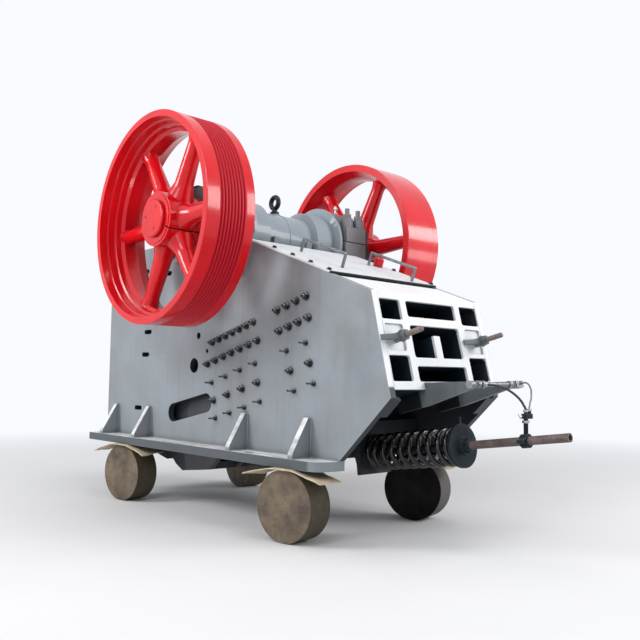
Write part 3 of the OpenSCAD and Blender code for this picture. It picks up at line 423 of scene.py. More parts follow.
# This near-black paint is painted shade for the pieces under the rear frame and for the strip in the covers'
# rear gap.
oil_and_shade_paint = machine_paint("oil_and_shade_paint", oil_and_shade, (0.006, 0.008, 0.010), (0.10, 0.115, 0.125), 0.6)
arm_paint = machine_paint("arm_paint", (0.115, 0.135, 0.145), (0.07, 0.08, 0.085), (0.26, 0.29, 0.31), 0.6,
                          arm_tones)
barrel_paint = machine_paint("barrel_paint", (0.29, 0.35, 0.39), (0.22, 0.24, 0.26), (0.56, 0.62, 0.66), 0.4,
                             barrel_tones)
barrel_paint.node_tree.nodes["Principled BSDF"].inputs["Coat Weight"].default_value = 0.3
pale_paint = machine_paint("pale_paint", (0.70, 0.73, 0.76), (0.52, 0.54, 0.55), (0.88, 0.90, 0.92), 0.35)
frame_paint = machine_paint("frame_paint", white, (0.60, 0.62, 0.64), (0.92, 0.93, 0.94), 0.3, frame_tones)
print("made the body's paints")

# %% [markdown]
# The flywheels have a thick gloss enamel, brushed on round the rim, so its marks are fine rings. Only the
# belt grooves of the near wheel are dull and darker, where a belt has polished and dirtied them.

# %% Red enamel
near_wheel_y, belt_half, tread_reach = -0.943, 0.110, 0.725

def wheel_enamel():
    paint = Finish("wheel_enamel")
    paint.shader.inputs["Specular IOR Level"].default_value = 0.35
    paint.shader.inputs["Coat Roughness"].default_value = 0.08
    clouds = paint.ramp(paint.noise(3.5, 5), 0.3, 0.75)
    red = paint.mix(clouds, (0.72, 0.005, 0.012), (0.56, 0.002, 0.008))
    # Painted shade in the corners of the enamel and a painted highlight along its edges.
    red = paint.mix(paint.times(paint.corners(0.08), 0.6), red, (0.20, 0.001, 0.002))
    red = paint.mix(paint.times(paint.edges(), 0.55), red, (0.92, 0.12, 0.11))

    flat = paint.node("ShaderNodeMapping")
    flat.inputs["Scale"].default_value = (1, 0, 1)
    flat.inputs["Location"].default_value = (-shaft_x, 0, -shaft_h)
    paint.join(paint.place, flat.inputs["Vector"])
    reach = paint.node("ShaderNodeVectorMath", operation="LENGTH")
    paint.join(flat.outputs["Vector"], reach.inputs[0])
    aside = paint.along(at(0, near_wheel_y, 0), 1)
    belt = paint.times(paint.ramp(aside, -belt_half, 0.006 - belt_half),
                       paint.ramp(aside, belt_half, belt_half - 0.006))
    belt = paint.times(belt, paint.ramp(reach.outputs["Value"], tread_reach, tread_reach + 0.005))
    paint.colour(paint.mix(paint.times(belt, 0.8), red, (0.50, 0.002, 0.018)))

    rings = paint.noise(1.0, 2, paint.stretched((0.6, 90, 0.6)))
    sheen = paint.node("ShaderNodeMix")
    paint.join(belt, sheen.inputs["Factor"])
    paint.join(paint.ramp(rings, 0.35, 0.65, 0.14, 0.26), sheen.inputs["A"])
    sheen.inputs["B"].default_value = 0.5
    paint.rough(sheen.outputs["Result"])
    paint.join(paint.ramp(belt, 0, 1, 0.2, 0.0), paint.shader.inputs["Coat Weight"])
    paint.bump(rings, 0.0004, 0.3)
    return paint.material

wheel_paint = wheel_enamel()
print("made", wheel_paint.name)

# %% [markdown]
# Bare metals differ in what covers them: grease on the machined steel, brown rust on the rods,
# black oil on the spring and the bolts, and dull scale on the heavy round supports.

# %% Bare metal and its wear
def metal(name, base, second, grain, rough, spread, metallic, depth, worn=None, gloss=0.5, tones=None):
    """Two colours in patches of a grain, a roughness that spreads round a middle, and pale worn edges."""
    finish = Finish(name, metallic=metallic)
    finish.shader.inputs["Specular IOR Level"].default_value = gloss
    patches = finish.ramp(finish.noise(grain, 6), 0.38, 0.66)
    tone = finish.mix(patches, base, second)
    specks = finish.ramp(finish.noise(grain * 9, 3), 0.55, 0.72)
    tone = finish.mix(finish.times(specks, 0.5), tone, tuple(c * 0.5 for c in second))
    if worn:
        tone = finish.mix(finish.times(finish.edges(0.004), 0.7), tone, worn)
    finish.colour(tones(finish, tone) if tones else tone)
    finish.rough(finish.ramp(finish.noise(grain * 3, 4), 0.3, 0.7, rough - spread, rough + spread))
    finish.bump(finish.noise(grain * 12, 4), depth, 0.6)
    return finish.material

def bolt_tones(steel, tone):
    """Light from the roof catches the upper side of each nut and stud."""
    return steel.mix(steel.times(steel.facing("Z", 0.25, 0.6), 0.8), tone, (0.40, 0.43, 0.46))

def rod_tones(steel, tone):
    """The tension rod is painted black, as shade, where it runs inside the spring."""
    return steel.mix(steel.ramp(steel.along(rod_line, 0), 0.02, -0.02), tone, (0.008, 0.008, 0.009))

def tread_tones(tread):
    """The rolling face of a support gets another tone where the normal leaves the drum's axis: painted shade on
    the rusty supports, a lighter grey on the black one.
    """
    def tones(steel, tone):
        split = steel.node("ShaderNodeSeparateXYZ")
        steel.join(steel.node("ShaderNodeNewGeometry").outputs["Normal"], split.inputs[0])
        away = steel.node("ShaderNodeMath", operation="ABSOLUTE")
        steel.join(split.outputs["Y"], away.inputs[0])
        return steel.mix(steel.ramp(away.outputs[0], 0.75, 0.55), tone, tread)
    return tones

print("bare metal ready")

# %% [markdown]
# A dark or a rusty steel is used twice: once plain, and once with a painted tone for one piece:
# painted light on the tops of the bolts, painted shade on the rod inside the spring. The darker treads of the
# rusty supports are painted shade. The far rear support is a black one with a grey tread, as in the photograph.

# %% The metals
dark = dict(base=(0.015, 0.017, 0.021), second=(0.030, 0.029, 0.029), grain=14, rough=0.34, spread=0.12,
            metallic=0.3, depth=0.0008, worn=(0.19, 0.195, 0.20), gloss=0.25)
rust = dict(base=(0.145, 0.110, 0.104), second=(0.078, 0.054, 0.050), grain=18, rough=0.60, spread=0.14,
            metallic=0.25, depth=0.0014, worn=(0.30, 0.24, 0.21))
dark_steel, bolt_steel = metal("dark_steel", **dark), metal("bolt_steel", **dark, tones=bolt_tones)
rusty_steel, rod_steel = metal("rusty_steel", **rust), metal("rod_steel", **rust, tones=rod_tones)
bare_steel = metal("bare_steel", (0.42, 0.41, 0.40), (0.22, 0.20, 0.18), grain=9, rough=0.38, spread=0.12,
                   metallic=0.9, depth=0.0006, worn=(0.7, 0.7, 0.7))
spring_steel = metal("spring_steel", (0.003, 0.004, 0.006), (0.006, 0.006, 0.006), grain=14, rough=0.12,
                     spread=0.02, metallic=0.0, depth=0.00005)
cheek_steel = metal("cheek_steel", (0.075, 0.080, 0.085), (0.030, 0.032, 0.034), grain=8, rough=0.45,
                    spread=0.10, metallic=0.4, depth=0.0008)
seat_steel = metal("seat_steel", (0.018, 0.027, 0.032), (0.008, 0.012, 0.016), grain=12, rough=0.40,
                   spread=0.12, metallic=0.1, depth=0.0008, worn=(0.14, 0.16, 0.17), gloss=0.08)
drum_steel = metal("drum_steel", (0.20, 0.155, 0.105), (0.085, 0.065, 0.048), grain=7, rough=0.72,
                   spread=0.12, metallic=0.2, depth=0.0030, worn=(0.34, 0.28, 0.22),
                   tones=tread_tones((0.070, 0.058, 0.036)))
black_drum = metal("black_drum", (0.005, 0.005, 0.007), (0.018, 0.016, 0.015), grain=7, rough=0.70,
                   spread=0.12, metallic=0.0, depth=0.0030, gloss=0.1, tones=tread_tones((0.125, 0.118, 0.110)))
zinc = metal("zinc", (0.46, 0.48, 0.50), (0.30, 0.31, 0.32), grain=16, rough=0.34, spread=0.10,
             metallic=0.85, depth=0.0004, worn=(0.8, 0.8, 0.8))
worn_zinc = metal("worn_zinc", (0.24, 0.25, 0.26), (0.13, 0.135, 0.14), grain=20, rough=0.38, spread=0.10,
                  metallic=0.7, depth=0.0004, worn=(0.5, 0.5, 0.5))
print("metals ready")

# %% [markdown]
# The main hose is black rubber with a fine outer braid, the return hose is grey, and the packing boards
# are brown and creased. The floor fades into the hall, so that it shows no horizon.

# %% Rubber, board and floor
def hose_rubber():
    finish = Finish("hose_rubber", 0.55)
    dust = finish.ramp(finish.noise(30, 4), 0.45, 0.7)
    finish.colour(finish.mix(dust, (0.012, 0.012, 0.013), (0.045, 0.043, 0.040)))
    finish.bump(finish.noise(420, 2), 0.0006, 0.6)
    return finish.material

def packing_board():
    finish = Finish("packing_board", 0.85)
    fibres = finish.ramp(finish.noise(26, 6), 0.35, 0.7)
    tone = finish.mix(fibres, (0.66, 0.56, 0.41), (0.52, 0.42, 0.29))
    stains = finish.ramp(finish.noise(5, 5), 0.5, 0.7)
    finish.colour(finish.mix(finish.times(stains, 0.5), tone, (0.26, 0.19, 0.12)))
    finish.bump(finish.noise(60, 5), 0.003, 0.7)
    return finish.material

def floor_finish():
    """Pale concrete that glows like the hall further out, only where it is seen."""
    finish = Finish("pale_floor", 0.8)
    finish.colour(finish.mix(finish.noise(0.8, 3), (0.78, 0.78, 0.79), (0.72, 0.72, 0.73)))
    reach = finish.node("ShaderNodeVectorMath", operation="LENGTH")
    finish.join(finish.place, reach.inputs[0])
    fade = finish.times(finish.ramp(reach.outputs["Value"], 2.6, 9.0), seen(finish.tree))
    glow = finish.node("ShaderNodeEmission")
    glow.inputs["Color"].default_value = hall_white
    blend = finish.node("ShaderNodeMixShader")
    finish.join(fade, blend.inputs[0])
    finish.join(finish.shader.outputs[0], blend.inputs[1])
    finish.join(glow.outputs[0], blend.inputs[2])
    finish.join(blend.outputs[0], finish.tree.nodes["Material Output"].inputs["Surface"])
    return finish.material

rubber, board = hose_rubber(), packing_board()
grey_rubber = metal("grey_rubber", (0.20, 0.21, 0.22), (0.12, 0.12, 0.13), grain=40, rough=0.5, spread=0.1,
                    metallic=0.0, depth=0.0004)
floor.data.materials.append(floor_finish())
print("rubber, board and floor ready")

# %% [markdown]
# ## Dressing the CAD pieces
# A real casting or welded plate has no razor edge. A weld step closes the loose triangles of each CAD
# mesh, a planar decimate joins the flat ones, a narrow bevel gives each edge a highlight, and weighted
# normals keep the flat faces even. All four stay as modifiers, so the CAD mesh itself is not touched.

# %% Finish each CAD piece
edge_width, same_point = 0.003, 0.00002

def dress(name, material):
    piece = nodes[name]
    piece.data.materials.clear()
    piece.data.materials.append(material)
    weld = piece.modifiers.new("close", "WELD")
    weld.merge_threshold = same_point
    flat = piece.modifiers.new("flats", "DECIMATE")
    flat.decimate_type = "DISSOLVE"
    flat.angle_limit = math.radians(0.5)
    edge = piece.modifiers.new("edge", "BEVEL")
    edge.width = edge_width
    edge.segments = 2
    edge.limit_method = "ANGLE"
    edge.angle_limit = math.radians(40)
    even = piece.modifiers.new("even", "WEIGHTED_NORMAL")
    even.keep_sharp = True
    bpy.ops.object.select_all(action="DESELECT")
    piece.select_set(True)
    bpy.context.view_layer.objects.active = piece
    bpy.ops.object.shade_smooth_by_angle(angle=math.radians(35))

finishes = {
    "body_paint": body_paint, "pale_paint": pale_paint, "wheel_paint": wheel_paint,
    "dark_steel": dark_steel, "bare_steel": bare_steel, "rusty_steel": rusty_steel,
    "hose_rubber": rubber, "drum_steel": drum_steel, "packing_board": board,
}
own = {
    "rear_frame": frame_paint, "pitman": barrel_paint, "tension_rod": rod_steel,
    # Toggle beam and spring bracket take the near-black paint as painted shade.
    "toggle_beam": oil_and_shade_paint, "spring_bracket": oil_and_shade_paint,
    "spring_seat": seat_steel, "rod_clamp": seat_steel,
    "cover_handle_left": worn_zinc, "cover_handle_right": worn_zinc, "hydraulic_pipe": worn_zinc,
    "cheek_plate_left": cheek_steel, "cheek_plate_right": cheek_steel,
    "bearing_housing_left": cap_paint, "bearing_housing_right": cap_paint,
    "side_plate_left": side_paint, "side_plate_right": side_paint,
    "support_arm_left": arm_paint, "support_arm_right": arm_paint,
    "base_rail_left": rail_paint, "base_rail_right": rail_paint,
    "support_drum_rear_right": black_drum,
}
for part in frame["record"]["subparts"]:
    dress(part["node"], own.get(part["node"], finishes[part["material_slot"]]))
print("dressed", len(nodes), "pieces")

# %% [markdown]
# ## Modelling tools
# Each new piece starts as a primitive and is shaped in edit mode. Faces are picked by their place and
# normal. A finished piece is turned to its line of the machine, and that turn is applied to its mesh.

# %% Tools for modelling
def only(piece):
    bpy.ops.object.select_all(action="DESELECT")
    piece.select_set(True)
    bpy.context.view_layer.objects.active = piece

def pick(piece, test):
    """Open the piece in edit mode with only the faces selected that pass the test."""
    only(piece)
    bpy.ops.object.mode_set(mode="EDIT")
    bpy.ops.mesh.select_mode(type="FACE")
    bpy.ops.mesh.select_all(action="DESELECT")
    bpy.ops.object.mode_set(mode="OBJECT")
    for face in piece.data.polygons:
        face.select = test(face)
    bpy.ops.object.mode_set(mode="EDIT")

def close():
    bpy.ops.object.mode_set(mode="OBJECT")

def apply(piece, kind, **settings):
    only(piece)
    step = piece.modifiers.new(kind.lower(), kind)
    for key, value in settings.items():
        setattr(step, key, value)
    bpy.ops.object.modifier_apply(modifier=step.name)

def settle(piece, matrix):
    """Put the piece on a line of the machine and write the place into its mesh."""
    only(piece)
    piece.matrix_world = matrix @ piece.matrix_world
    bpy.ops.object.transform_apply(location=True, rotation=True, scale=True)

def twin(piece, matrix):
    made = piece.copy()
    made.data = piece.data.copy()
    bpy.context.collection.objects.link(made)
    settle(made, matrix)
    return made

def join(pieces, name):
    bpy.ops.object.select_all(action="DESELECT")
    for piece in pieces:
        piece.select_set(True)
    bpy.context.view_layer.objects.active = pieces[0]
    if len(pieces) > 1:
        bpy.ops.object.join()
    pieces[0].name = name
    return pieces[0]

def hand_over(piece, material, body, smooth=35):
    piece.data.materials.clear()
    piece.data.materials.append(material)
    only(piece)
    bpy.ops.object.shade_smooth_by_angle(angle=math.radians(smooth))
    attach(piece, body)

print("modelling tools ready")

# %% [markdown]
# A round bar, a washer or a collar is a cylinder whose end edges are bevelled. It lies along X here,
# because most of the machine's bars lie along a line that is turned from X.

# %% Round bars, nuts and washers
def bar(radius, start, end, chamfer=0.0015, sides=24):
    bpy.ops.object.select_all(action="DESELECT")
    bpy.ops.mesh.primitive_cylinder_add(vertices=sides, radius=radius, depth=end - start,
                                        rotation=(0, math.pi / 2, 0), location=((start + end) / 2, 0, 0))
    made = bpy.context.object
    bpy.ops.object.transform_apply(location=True, rotation=True, scale=True)
    apply(made, "BEVEL", width=chamfer, segments=2, limit_method="ANGLE", angle_limit=math.radians(60))
    return made

def nut(radius, start, end, hole):
    """A hexagon nut: its two faces are inset, and the ring outside the inset is drawn back to a chamfer."""
    made = bar(radius, start, end, chamfer=0.0001, sides=6)
    long = end - start
    for side in (-1, 1):
        pick(made, lambda face: face.normal.x * side > 0.9 and face.area > radius * radius)
        bpy.ops.mesh.inset(thickness=radius * 0.12)
        bpy.ops.transform.translate(value=(side * long * 0.07, 0, 0))
        bpy.ops.mesh.inset(thickness=max(radius * 0.88 - hole * 1.12, 0.001))
        bpy.ops.mesh.extrude_region_move(TRANSFORM_OT_translate={"value": (-side * long * 0.2, 0, 0)})
        close()
    apply(made, "BEVEL", width=radius * 0.05, segments=2, limit_method="ANGLE", angle_limit=math.radians(25))
    return made

def thread(radius, start, end, pitch, steps=14):
    """One turn of a V profile, screwed along X."""
    bpy.ops.object.select_all(action="DESELECT")
    bpy.ops.mesh.primitive_plane_add(size=1)
    made = bpy.context.object
    root = radius * 0.93
    profile = [(start, 0, root), (start + pitch / 2, 0, radius), (start + pitch, 0, root)]
    made.data.clear_geometry()
    made.data.from_pydata(profile, [(0, 1), (1, 2)], [])
    apply(made, "SCREW", axis="X", angle=2 * math.pi, screw_offset=pitch, iterations=int((end - start) / pitch),
          steps=steps, render_steps=steps, use_merge_vertices=True)
    return made

print("bars, nuts and threads ready")

# %% [markdown]
# ## Spring
# The spring is one round wire in ten turns. A wire's path is what matters, so it is a curve with a
# round section. The end turns lie close together, as on a real spring that is closed and ground flat.

# %% A tube along a path
def tube(points, radius, name, sides=6):
    """A curve through the points with a round section, made into a mesh."""
    bpy.ops.object.select_all(action="DESELECT")
    bpy.ops.curve.primitive_nurbs_path_add()
    line = bpy.context.object
    line.data.splines.clear()
    strand = line.data.splines.new("POLY")
    strand.points.add(len(points) - 1)
    for spot, place in zip(strand.points, points):
        spot.co = (*place, 1)
    line.data.bevel_depth = radius
    line.data.bevel_resolution = sides
    line.data.use_fill_caps = True
    bpy.ops.object.convert(target="MESH")
    bpy.context.object.name = name
    return bpy.context.object

print("tubes ready")

# %% Tension spring
spring_r, wire, spring_len, turns, per_turn = 0.122, 0.034, 0.72, 10, 36
centre_r = spring_r - wire / 2
closed = wire * 1.06
open_pitch = (spring_len - wire - 2 * closed) / (turns - 2)
path, along = [], -spring_len + wire / 2 + 0.0005
for step in range(turns * per_turn + 1):
    angle = 2 * math.pi * step / per_turn
    path.append((along, centre_r * math.cos(angle), centre_r * math.sin(angle)))
    from_end = min(step, turns * per_turn - step) / per_turn
    blend = min(1, max(0, (from_end - 0.7) / 0.5))
    along += (closed + (open_pitch * 1.02 - closed) * blend) / per_turn
first, last = path[0][0], path[-1][0]
scale = (spring_len - wire - 0.001) / (last - first)
spring = tube([(first + (x - first) * scale, y, z) for x, y, z in path], wire / 2, "spring_coil")
settle(spring, rod_line)
hand_over(spring, spring_steel, "frame", smooth=80)
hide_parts("tension_spring")
print("spring", len(spring.data.polygons), "faces")

# %% [markdown]
# ## Bolts in the side plates
# The wear plates inside are held by rows of bolts. Two kinds show: heavy ones with a large nut, and
# slim ones whose stud stands out further. Each kind is modelled once and copied along its rows.

# %% Side bolts
def side_bolt(nut_r, nut_t, stud_r, stud_out):
    washer_t, pitch = 0.004, 0.0032
    washer = bar(nut_r * 1.18, 0, washer_t, chamfer=0.0008, sides=28)
    stud = bar(stud_r * 0.94, 0.002, stud_out, chamfer=stud_r * 0.18, sides=20)
    return join([washer, nut(nut_r, washer_t, washer_t + nut_t, stud_r), stud,
                 thread(stud_r, nut_t * 0.9, stud_out - 0.003, pitch)], "side_bolt")

heavy = side_bolt(nut_r=0.0235, nut_t=0.021, stud_r=0.0115, stud_out=0.046)
slim = side_bolt(nut_r=0.0165, nut_t=0.014, stud_r=0.0080, stud_out=0.062)

# Each row has x and z of its first bolt from the shaft, the step along the row, the number and the kind.
rows = [(-0.043, -0.849, 0.085, 7, heavy), (-0.102, -1.010, 0.104, 7, heavy)]
rows += [(-0.045 + 0.03 * i, -1.147 - 0.13 * i, 0.180, 4, kind) for i, kind in enumerate((slim, heavy, slim))]
rows += [(0.714 + 0.024 * i, -0.652 - 0.14 * i, 0.100, 4, heavy) for i in range(2)]
rows += [(0.815 + 0.04 * i, -0.927 - 0.13 * i, 0.195, 2, kind) for i, kind in enumerate((slim, heavy, slim))]
row_slope = math.radians(14.8)
places = [(x + i * step * math.cos(row_slope), z + i * step * math.sin(row_slope), kind)
          for x, z, step, count, kind in rows for i in range(count)]

for side, name in ((1, "left"), (-1, "right")):
    made = []
    for number, (x, z, kind) in enumerate(places):
        turned = Matrix.Rotation(-side * math.pi / 2, 4, "Z") @ Matrix.Rotation(0.7 * number, 4, "X")
        made.append(twin(kind, shaft_line @ at(x, -side * plate_face, z) @ turned))
    bolts = join(made, "bolts_" + name)
    hand_over(bolts, bolt_steel, "frame")
    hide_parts("side_bolts_" + name)
    print(bolts.name, len(places), "bolts,", len(bolts.data.polygons), "faces")
for spare in (heavy, slim):
    only(spare)
    bpy.ops.object.delete()

# %% [markdown]
# ## Lock bars
# Two threaded bars come out of the rear frame. They hold the packing of the jaw setting. Their nuts
# are painted with the frame, and the free thread has gone brown.

# %% Lock bars
rod_r, thread_r = 0.0160, 0.0172

for side, name in ((-1, "left"), (1, "right")):
    lock_place = frame_face @ at(0, side * 0.400, -0.292)
    rod = bar(rod_r, -0.13, 0.215, chamfer=0.004)
    lock = join([rod, thread(thread_r, 0.095, 0.208, 0.0042, steps=18)], "lock_bar_" + name)
    settle(lock, lock_place)
    hand_over(lock, rusty_steel, "frame")
    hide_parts("lock_rod_" + name)
    holder = join([nut(0.033, 0.060, 0.094, thread_r), bar(0.038, 0.0555, 0.060, 0.001, 28)],
                  "lock_nut_" + name)
    settle(holder, lock_place)
    hand_over(holder, arm_paint, "frame")
print("lock bars in place")

# %% [markdown]
# ## Hydraulic hoses
# Two hoses leave the pipe behind the machine and hang over to a small valve on the tension rod. Each is
# a fixed length of rubber hose. Its route is written as hundredths of the way rearward, across and down.

# %% Tools for hoses
def smooth(points, steps=3):
    """More points on the same line, by Catmull-Rom."""
    made = []
    for i in range(len(points) - 1):
        a, b, c, d = (points[min(max(k, 0), len(points) - 1)] for k in range(i - 1, i + 3))
        for t in (k / steps for k in range(steps)):
            made.append(0.5 * (2 * b + (c - a) * t + (2 * a - 5 * b + 4 * c - d) * t * t
                               + (3 * b - a - 3 * c + d) * t ** 3))
    return made + [points[-1]]

def route(start, end, shape):
    way = end - start
    return smooth([start + Vector((way.x * x, way.y * y, way.z * z)) / 100 for x, y, z in shape])

def fitting(radius, place, turned):
    """A hexagon over the port and a crimped sleeve over the end of the hose."""
    sleeve = bar(radius + 0.0022, -0.001, 0.013, 0.001, 24)
    ring = bar(radius + 0.0034, 0.004, 0.007, 0.0008, 24)
    made = join([nut(0.0136, -0.013, -0.001, radius), sleeve, ring], "fitting")
    settle(made, at(*place) @ turned)
    return made

print("hose tools ready")

# %% Hydraulic hoses
pipe_end = frame_face @ Vector((0.340, 0, -0.651))
valve = rod_line @ Vector((0.452, 0, 0))
upright = turn_y(-math.pi / 2)
main_route = route(pipe_end + Vector((0.026, -0.115, 0)), valve + Vector((0, 0, 0.161)), [
    (0, 0, 0), (9, 0, 0), (18, 6, 1), (28, 16, 3), (37, 26, 6), (46, 37, 10), (54, 47, 15), (61, 57, 22),
    (69, 66, 30), (75, 75, 38), (81, 83, 47), (87, 89, 57), (91, 94, 66), (95, 97, 76), (98.6, 99, 84),
    (100, 100, 93), (100, 100, 100)])
return_route = route(pipe_end + Vector((0.026, 0.262, 0.013)), valve + Vector((0, 0.036, 0.166)), [
    (0, 0, 0), (9, 0, 0), (19, 3, 2), (29, 8, 7), (38, 14, 14), (46, 20, 22), (53, 27, 31), (59, 35, 40),
    (65, 43, 49), (71, 52, 58), (76, 61, 65), (81, 70, 70.5), (86, 78, 74.5), (91, 85, 77.5), (94.6, 90.3, 80),
    (96.9, 94, 82.6), (98.2, 96.8, 85.4), (99.2, 98.6, 88.8), (99.8, 99.6, 92.6), (100, 100, 96.6),
    (100, 100, 100)])

for name, line, radius, finish in (("hydraulic_hose", main_route, 0.007, rubber),
                                   ("return_hose", return_route, 0.005, grey_rubber)):
    hose = tube(line, radius, name + "_line", sides=5)
    hand_over(hose, finish, "frame", smooth=60)
    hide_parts(name)
    ends = join([fitting(radius, line[0], turn_y(0)), fitting(radius, line[-1], turn_y(math.pi / 2))],
                name + "_ends")
    hand_over(ends, zinc, "frame")

# %% [markdown]
# The valve has a small T handle on its near side, and a round gland nut round its stem.

# %% Valve handle
lever = bar(0.0034, 0, 0.046, 0.001, 16)
settle(lever, at(valve.x, -0.016, valve.z + 0.139) @ Matrix.Rotation(-math.pi / 2, 4, "Z"))
grip = bar(0.0045, -0.016, 0.016, 0.0015, 16)
settle(grip, at(valve.x, -0.062, valve.z + 0.139) @ turn_y(math.radians(60)))
gland = nut(0.021, 0.100, 0.114, 0.013)
settle(gland, at(valve.x, 0, valve.z) @ upright)
handle = join([lever, grip, gland], "valve_handle")
hand_over(handle, zinc, "frame")
print(handle.name, len(handle.data.polygons), "faces")

# %% [markdown]
# ## Packing boards
# Four boards of thick brown card lie between the round supports and the base. They are flat only where
# the base presses on them. Beyond that they droop and crumple, and the outer corners fold down furthest.

# %% Packing boards
board_len, board_w, board_t, pressed_half = 0.655, 0.215, 0.0085, 0.085

def packing(seed, lift):
    bpy.ops.object.select_all(action="DESELECT")
    bpy.ops.mesh.primitive_grid_add(x_subdivisions=44, y_subdivisions=16, size=1)
    made = bpy.context.object
    for point in made.data.vertices:
        x, y = point.co.x * board_len, point.co.y * board_w
        over = max(0.0, abs(x) - pressed_half)
        droop = 0.066 * (over / 0.2425) ** 1.15
        fold = 0.5 + 0.5 * math.sin(9 * y + seed * 2.1 + (1.3 if x > 0 else 0))
        crease = noise.noise(Vector((x * 9, y * 11, seed * 3.7))) * 0.9
        crease += noise.noise(Vector((x * 30, y * 26, seed))) * 0.3
        height = -droop * (0.72 + 0.34 * fold) + crease * min(0.011, over * 0.09)
        point.co = (x * (1 - 0.02 * fold * over), y, height - 0.0052)
    apply(made, "SOLIDIFY", thickness=board_t, offset=0)
    apply(made, "SUBSURF", levels=1, render_levels=1)
    settle(made, lift)
    return made

boards = []
for seed, (x, side) in enumerate([(-1.100, -1), (-1.100, 1), (0.980, -1), (0.980, 1)]):
    turn = Matrix.Rotation(math.radians(8 if side < 0 else 0), 4, "Z")
    boards.append(packing(seed + 1, shaft_line @ at(x, side * 0.605, -1.665) @ turn @ at(0, side * 0.030, 0)))
packs = join(boards, "packing_boards")
hand_over(packs, board, "frame", smooth=50)
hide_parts("packing_sheets")
print(packs.name, len(packs.data.polygons), "faces")

# %% [markdown]
# ## Weld seams
# The base flanges, their ribs and the rear frame are welded to the side plates. A seam is a narrow bead
# laid in the corner, a little uneven along its length.

# %% Weld seams
def bead(start, end, radius=0.006):
    way = end - start
    made = bar(radius, 0, way.length, 0.0025, 8)
    for point in made.data.vertices:
        swell = 1 + 0.16 * noise.noise(Vector((point.co.x * 60, start.x * 7, start.y * 7)))
        point.co.y *= swell
        point.co.z *= swell
    settle(made, at(*start) @ way.to_track_quat("X", "Z").to_matrix().to_4x4())
    return made

base_top, seam_out = shaft_h - 1.605, plate_face + 0.001
front, rear, rib_half = shaft_x - 1.668, shaft_x + 1.315, 0.0235
beads, frame_beads = [], []
for side in (-1, 1):
    y, low = side * seam_out, base_top + 0.001
    beads.append(bead(Vector((front, y, low)), Vector((rear, y, low))))
    for rib in (-1.480, -0.930, 0.379, 1.040):
        for x in (shaft_x + rib - rib_half, shaft_x + rib + rib_half):
            beads.append(bead(Vector((x, y, base_top)), Vector((x, y, base_top + 0.246)), 0.007))
            beads.append(bead(Vector((x, y, low)), Vector((x, side * 0.686, low)), 0.006))
    for start, end in ((-0.596, -0.312), (-0.270, -0.004)):
        frame_beads.append(bead(*(frame_face @ Vector((-0.004, side * 0.485, up)) for up in (start, end))))
    corner_x, corner_y = shaft_x - 1.649, side * 0.4845
    beads.append(bead(Vector((corner_x, corner_y, 0.51)), Vector((corner_x, corner_y, 2.08))))
seams = join(beads, "weld_seams")
hand_over(seams, body_paint, "frame", smooth=60)
hand_over(join(frame_beads, "frame_seams"), pale_paint, "frame", smooth=60)
print(seams.name, len(beads), "beads,", len(seams.data.polygons), "faces")

# %% [markdown]
# ## Small fittings on top
# Bolts hold the covers along their outer edges. One bolt is made and repeated, and each copy is turned
# with the slope of its cover. The bearing caps carry plugs, and a near-black strip in the covers' rear gap is
# painted shade.

# %% Cover bolts
cover_out = 0.0143
pattern = join([bar(0.019, 0, 0.003, 0.0008, 24), nut(0.0145, 0.003, 0.014, 0.005)], "cover_bolt")
cover_bolts = []
for side in (-1, 1):
    for x in (0.626, 0.820, 1.002, 1.179):
        place = cover_slope @ at((x - 1.576) / math.cos(top_slope), side * 0.508, cover_out)
        cover_bolts.append(twin(pattern, place @ upright))
only(pattern)
bpy.ops.object.delete()
hand_over(join(cover_bolts, "cover_bolts"), dark_steel, "frame")
print(len(cover_bolts), "cover bolts in place")

# %% [markdown]
# The far bearing cap has two lubrication plugs, the near one a plug and an eye nut. A plug is a bar, a nut
# and a smaller bar in one line. The eye nut is a ring on a round foot, turned so that it shows at an angle.

# %% Bearing cap fittings
def ring(major, minor, name, around, sides, place=(0, 0, 0), twist=0):
    """A round ring whose axis lies along Y. A twist turns it about the vertical."""
    bpy.ops.object.select_all(action="DESELECT")
    bpy.ops.mesh.primitive_torus_add(major_radius=major, minor_radius=minor, major_segments=around,
                                     minor_segments=sides, location=place, rotation=(math.pi / 2, 0, twist))
    made = bpy.context.object
    bpy.ops.object.transform_apply(location=True, rotation=True, scale=True)
    made.name = name
    return made

plugs = []
for side, x in ((-1, 0.078), (1, -0.078), (1, 0.078)):
    plug = join([bar(0.011, 0.268, 0.330, 0.001, 20), nut(0.020, 0.318, 0.338, 0.008),
                 bar(0.009, 0.336, 0.352, 0.002, 20)], "plug")
    settle(plug, shaft_line @ at(x, side * 0.6025, 0) @ upright)
    plugs.append(plug)
hand_over(join(plugs, "bearing_cap_plugs"), zinc, "frame")

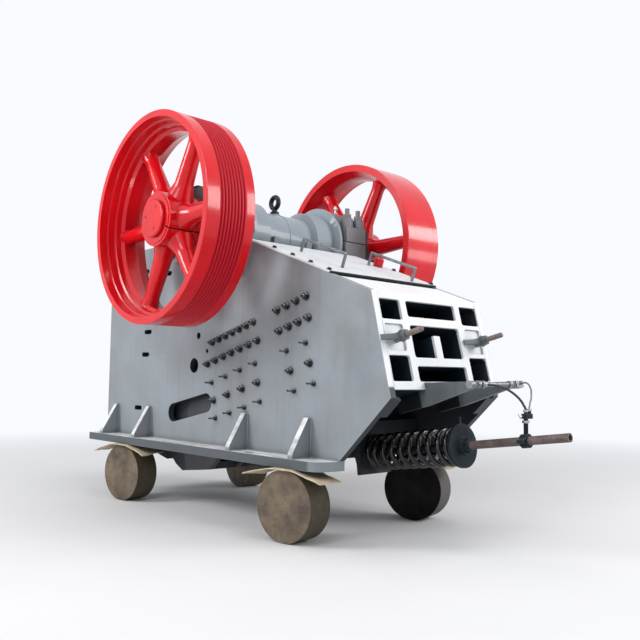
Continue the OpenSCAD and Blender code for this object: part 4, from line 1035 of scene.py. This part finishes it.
loop = ring(0.045, 0.014, "loop", around=40, sides=16, place=(0, 0, 0.3225), twist=1.0)
foot = bar(0.028, 0.255, 0.276, 0.003, 28)
settle(foot, upright)
eye = join([loop, foot], "cap_eye_nut")
settle(eye, shaft_line @ at(0, -0.640, 0) @ turn_y(math.radians(-25.1)))
hand_over(eye, dark_steel, "frame", smooth=50)
print("plugs and eye nut in place")

# %% [markdown]
# The strip is painted shade for the gap under the covers' rear edge. A box with rounded edges is enough, turned
# with the covers.

# %% Cover shadow strip
bpy.ops.object.select_all(action="DESELECT")
bpy.ops.mesh.primitive_cube_add(size=1, location=(-0.3875, 0, 0.0035), scale=(0.008, 1.052, 0.024))
shadow_strip = bpy.context.object
bpy.ops.object.transform_apply(location=True, rotation=True, scale=True)
apply(shadow_strip, "BEVEL", width=0.002, segments=2, limit_method="ANGLE")
shadow_strip.name = "cover_shadow_strip"
settle(shadow_strip, cover_slope)
hand_over(shadow_strip, oil_and_shade_paint, "frame")
print("cover lip in place")

# %% [markdown]
# The barrel shows the seam of its casting, and three hexagon screws hold each hub cover.

# %% Casting seam and hub screws
seam = ring(0.2045, 0.0045, "barrel_seam", around=96, sides=8)
settle(seam, shaft_line @ at(0, 0, -0.015))
hand_over(seam, barrel_paint, "pitman", smooth=60)

screw_circle, cover_face = 0.086, 1.0925
screws = []
for side in (-1, 1):
    for angle in (math.radians(52), math.radians(172), math.radians(292)):
        screw = nut(0.0160, 0, 0.009, 0.0095)
        spot = at(screw_circle * math.cos(angle), side * cover_face, screw_circle * math.sin(angle))
        settle(screw, shaft_line @ spot @ Matrix.Rotation(side * math.pi / 2, 4, "Z"))
        screws.append(screw)
hand_over(join(screws, "hub_screws"), wheel_paint, "rotor")
print("casting seam and hub screws in place")

# %% [markdown]
# ## Sizes
# The box round all pieces is shown beside the box of the CAD pieces.

# %% Show the sizes
def plain(box):
    return [[round(float(c), 5) for c in corner] for corner in box]

{"cad": plain(cad_box), "visual": plain(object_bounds())}
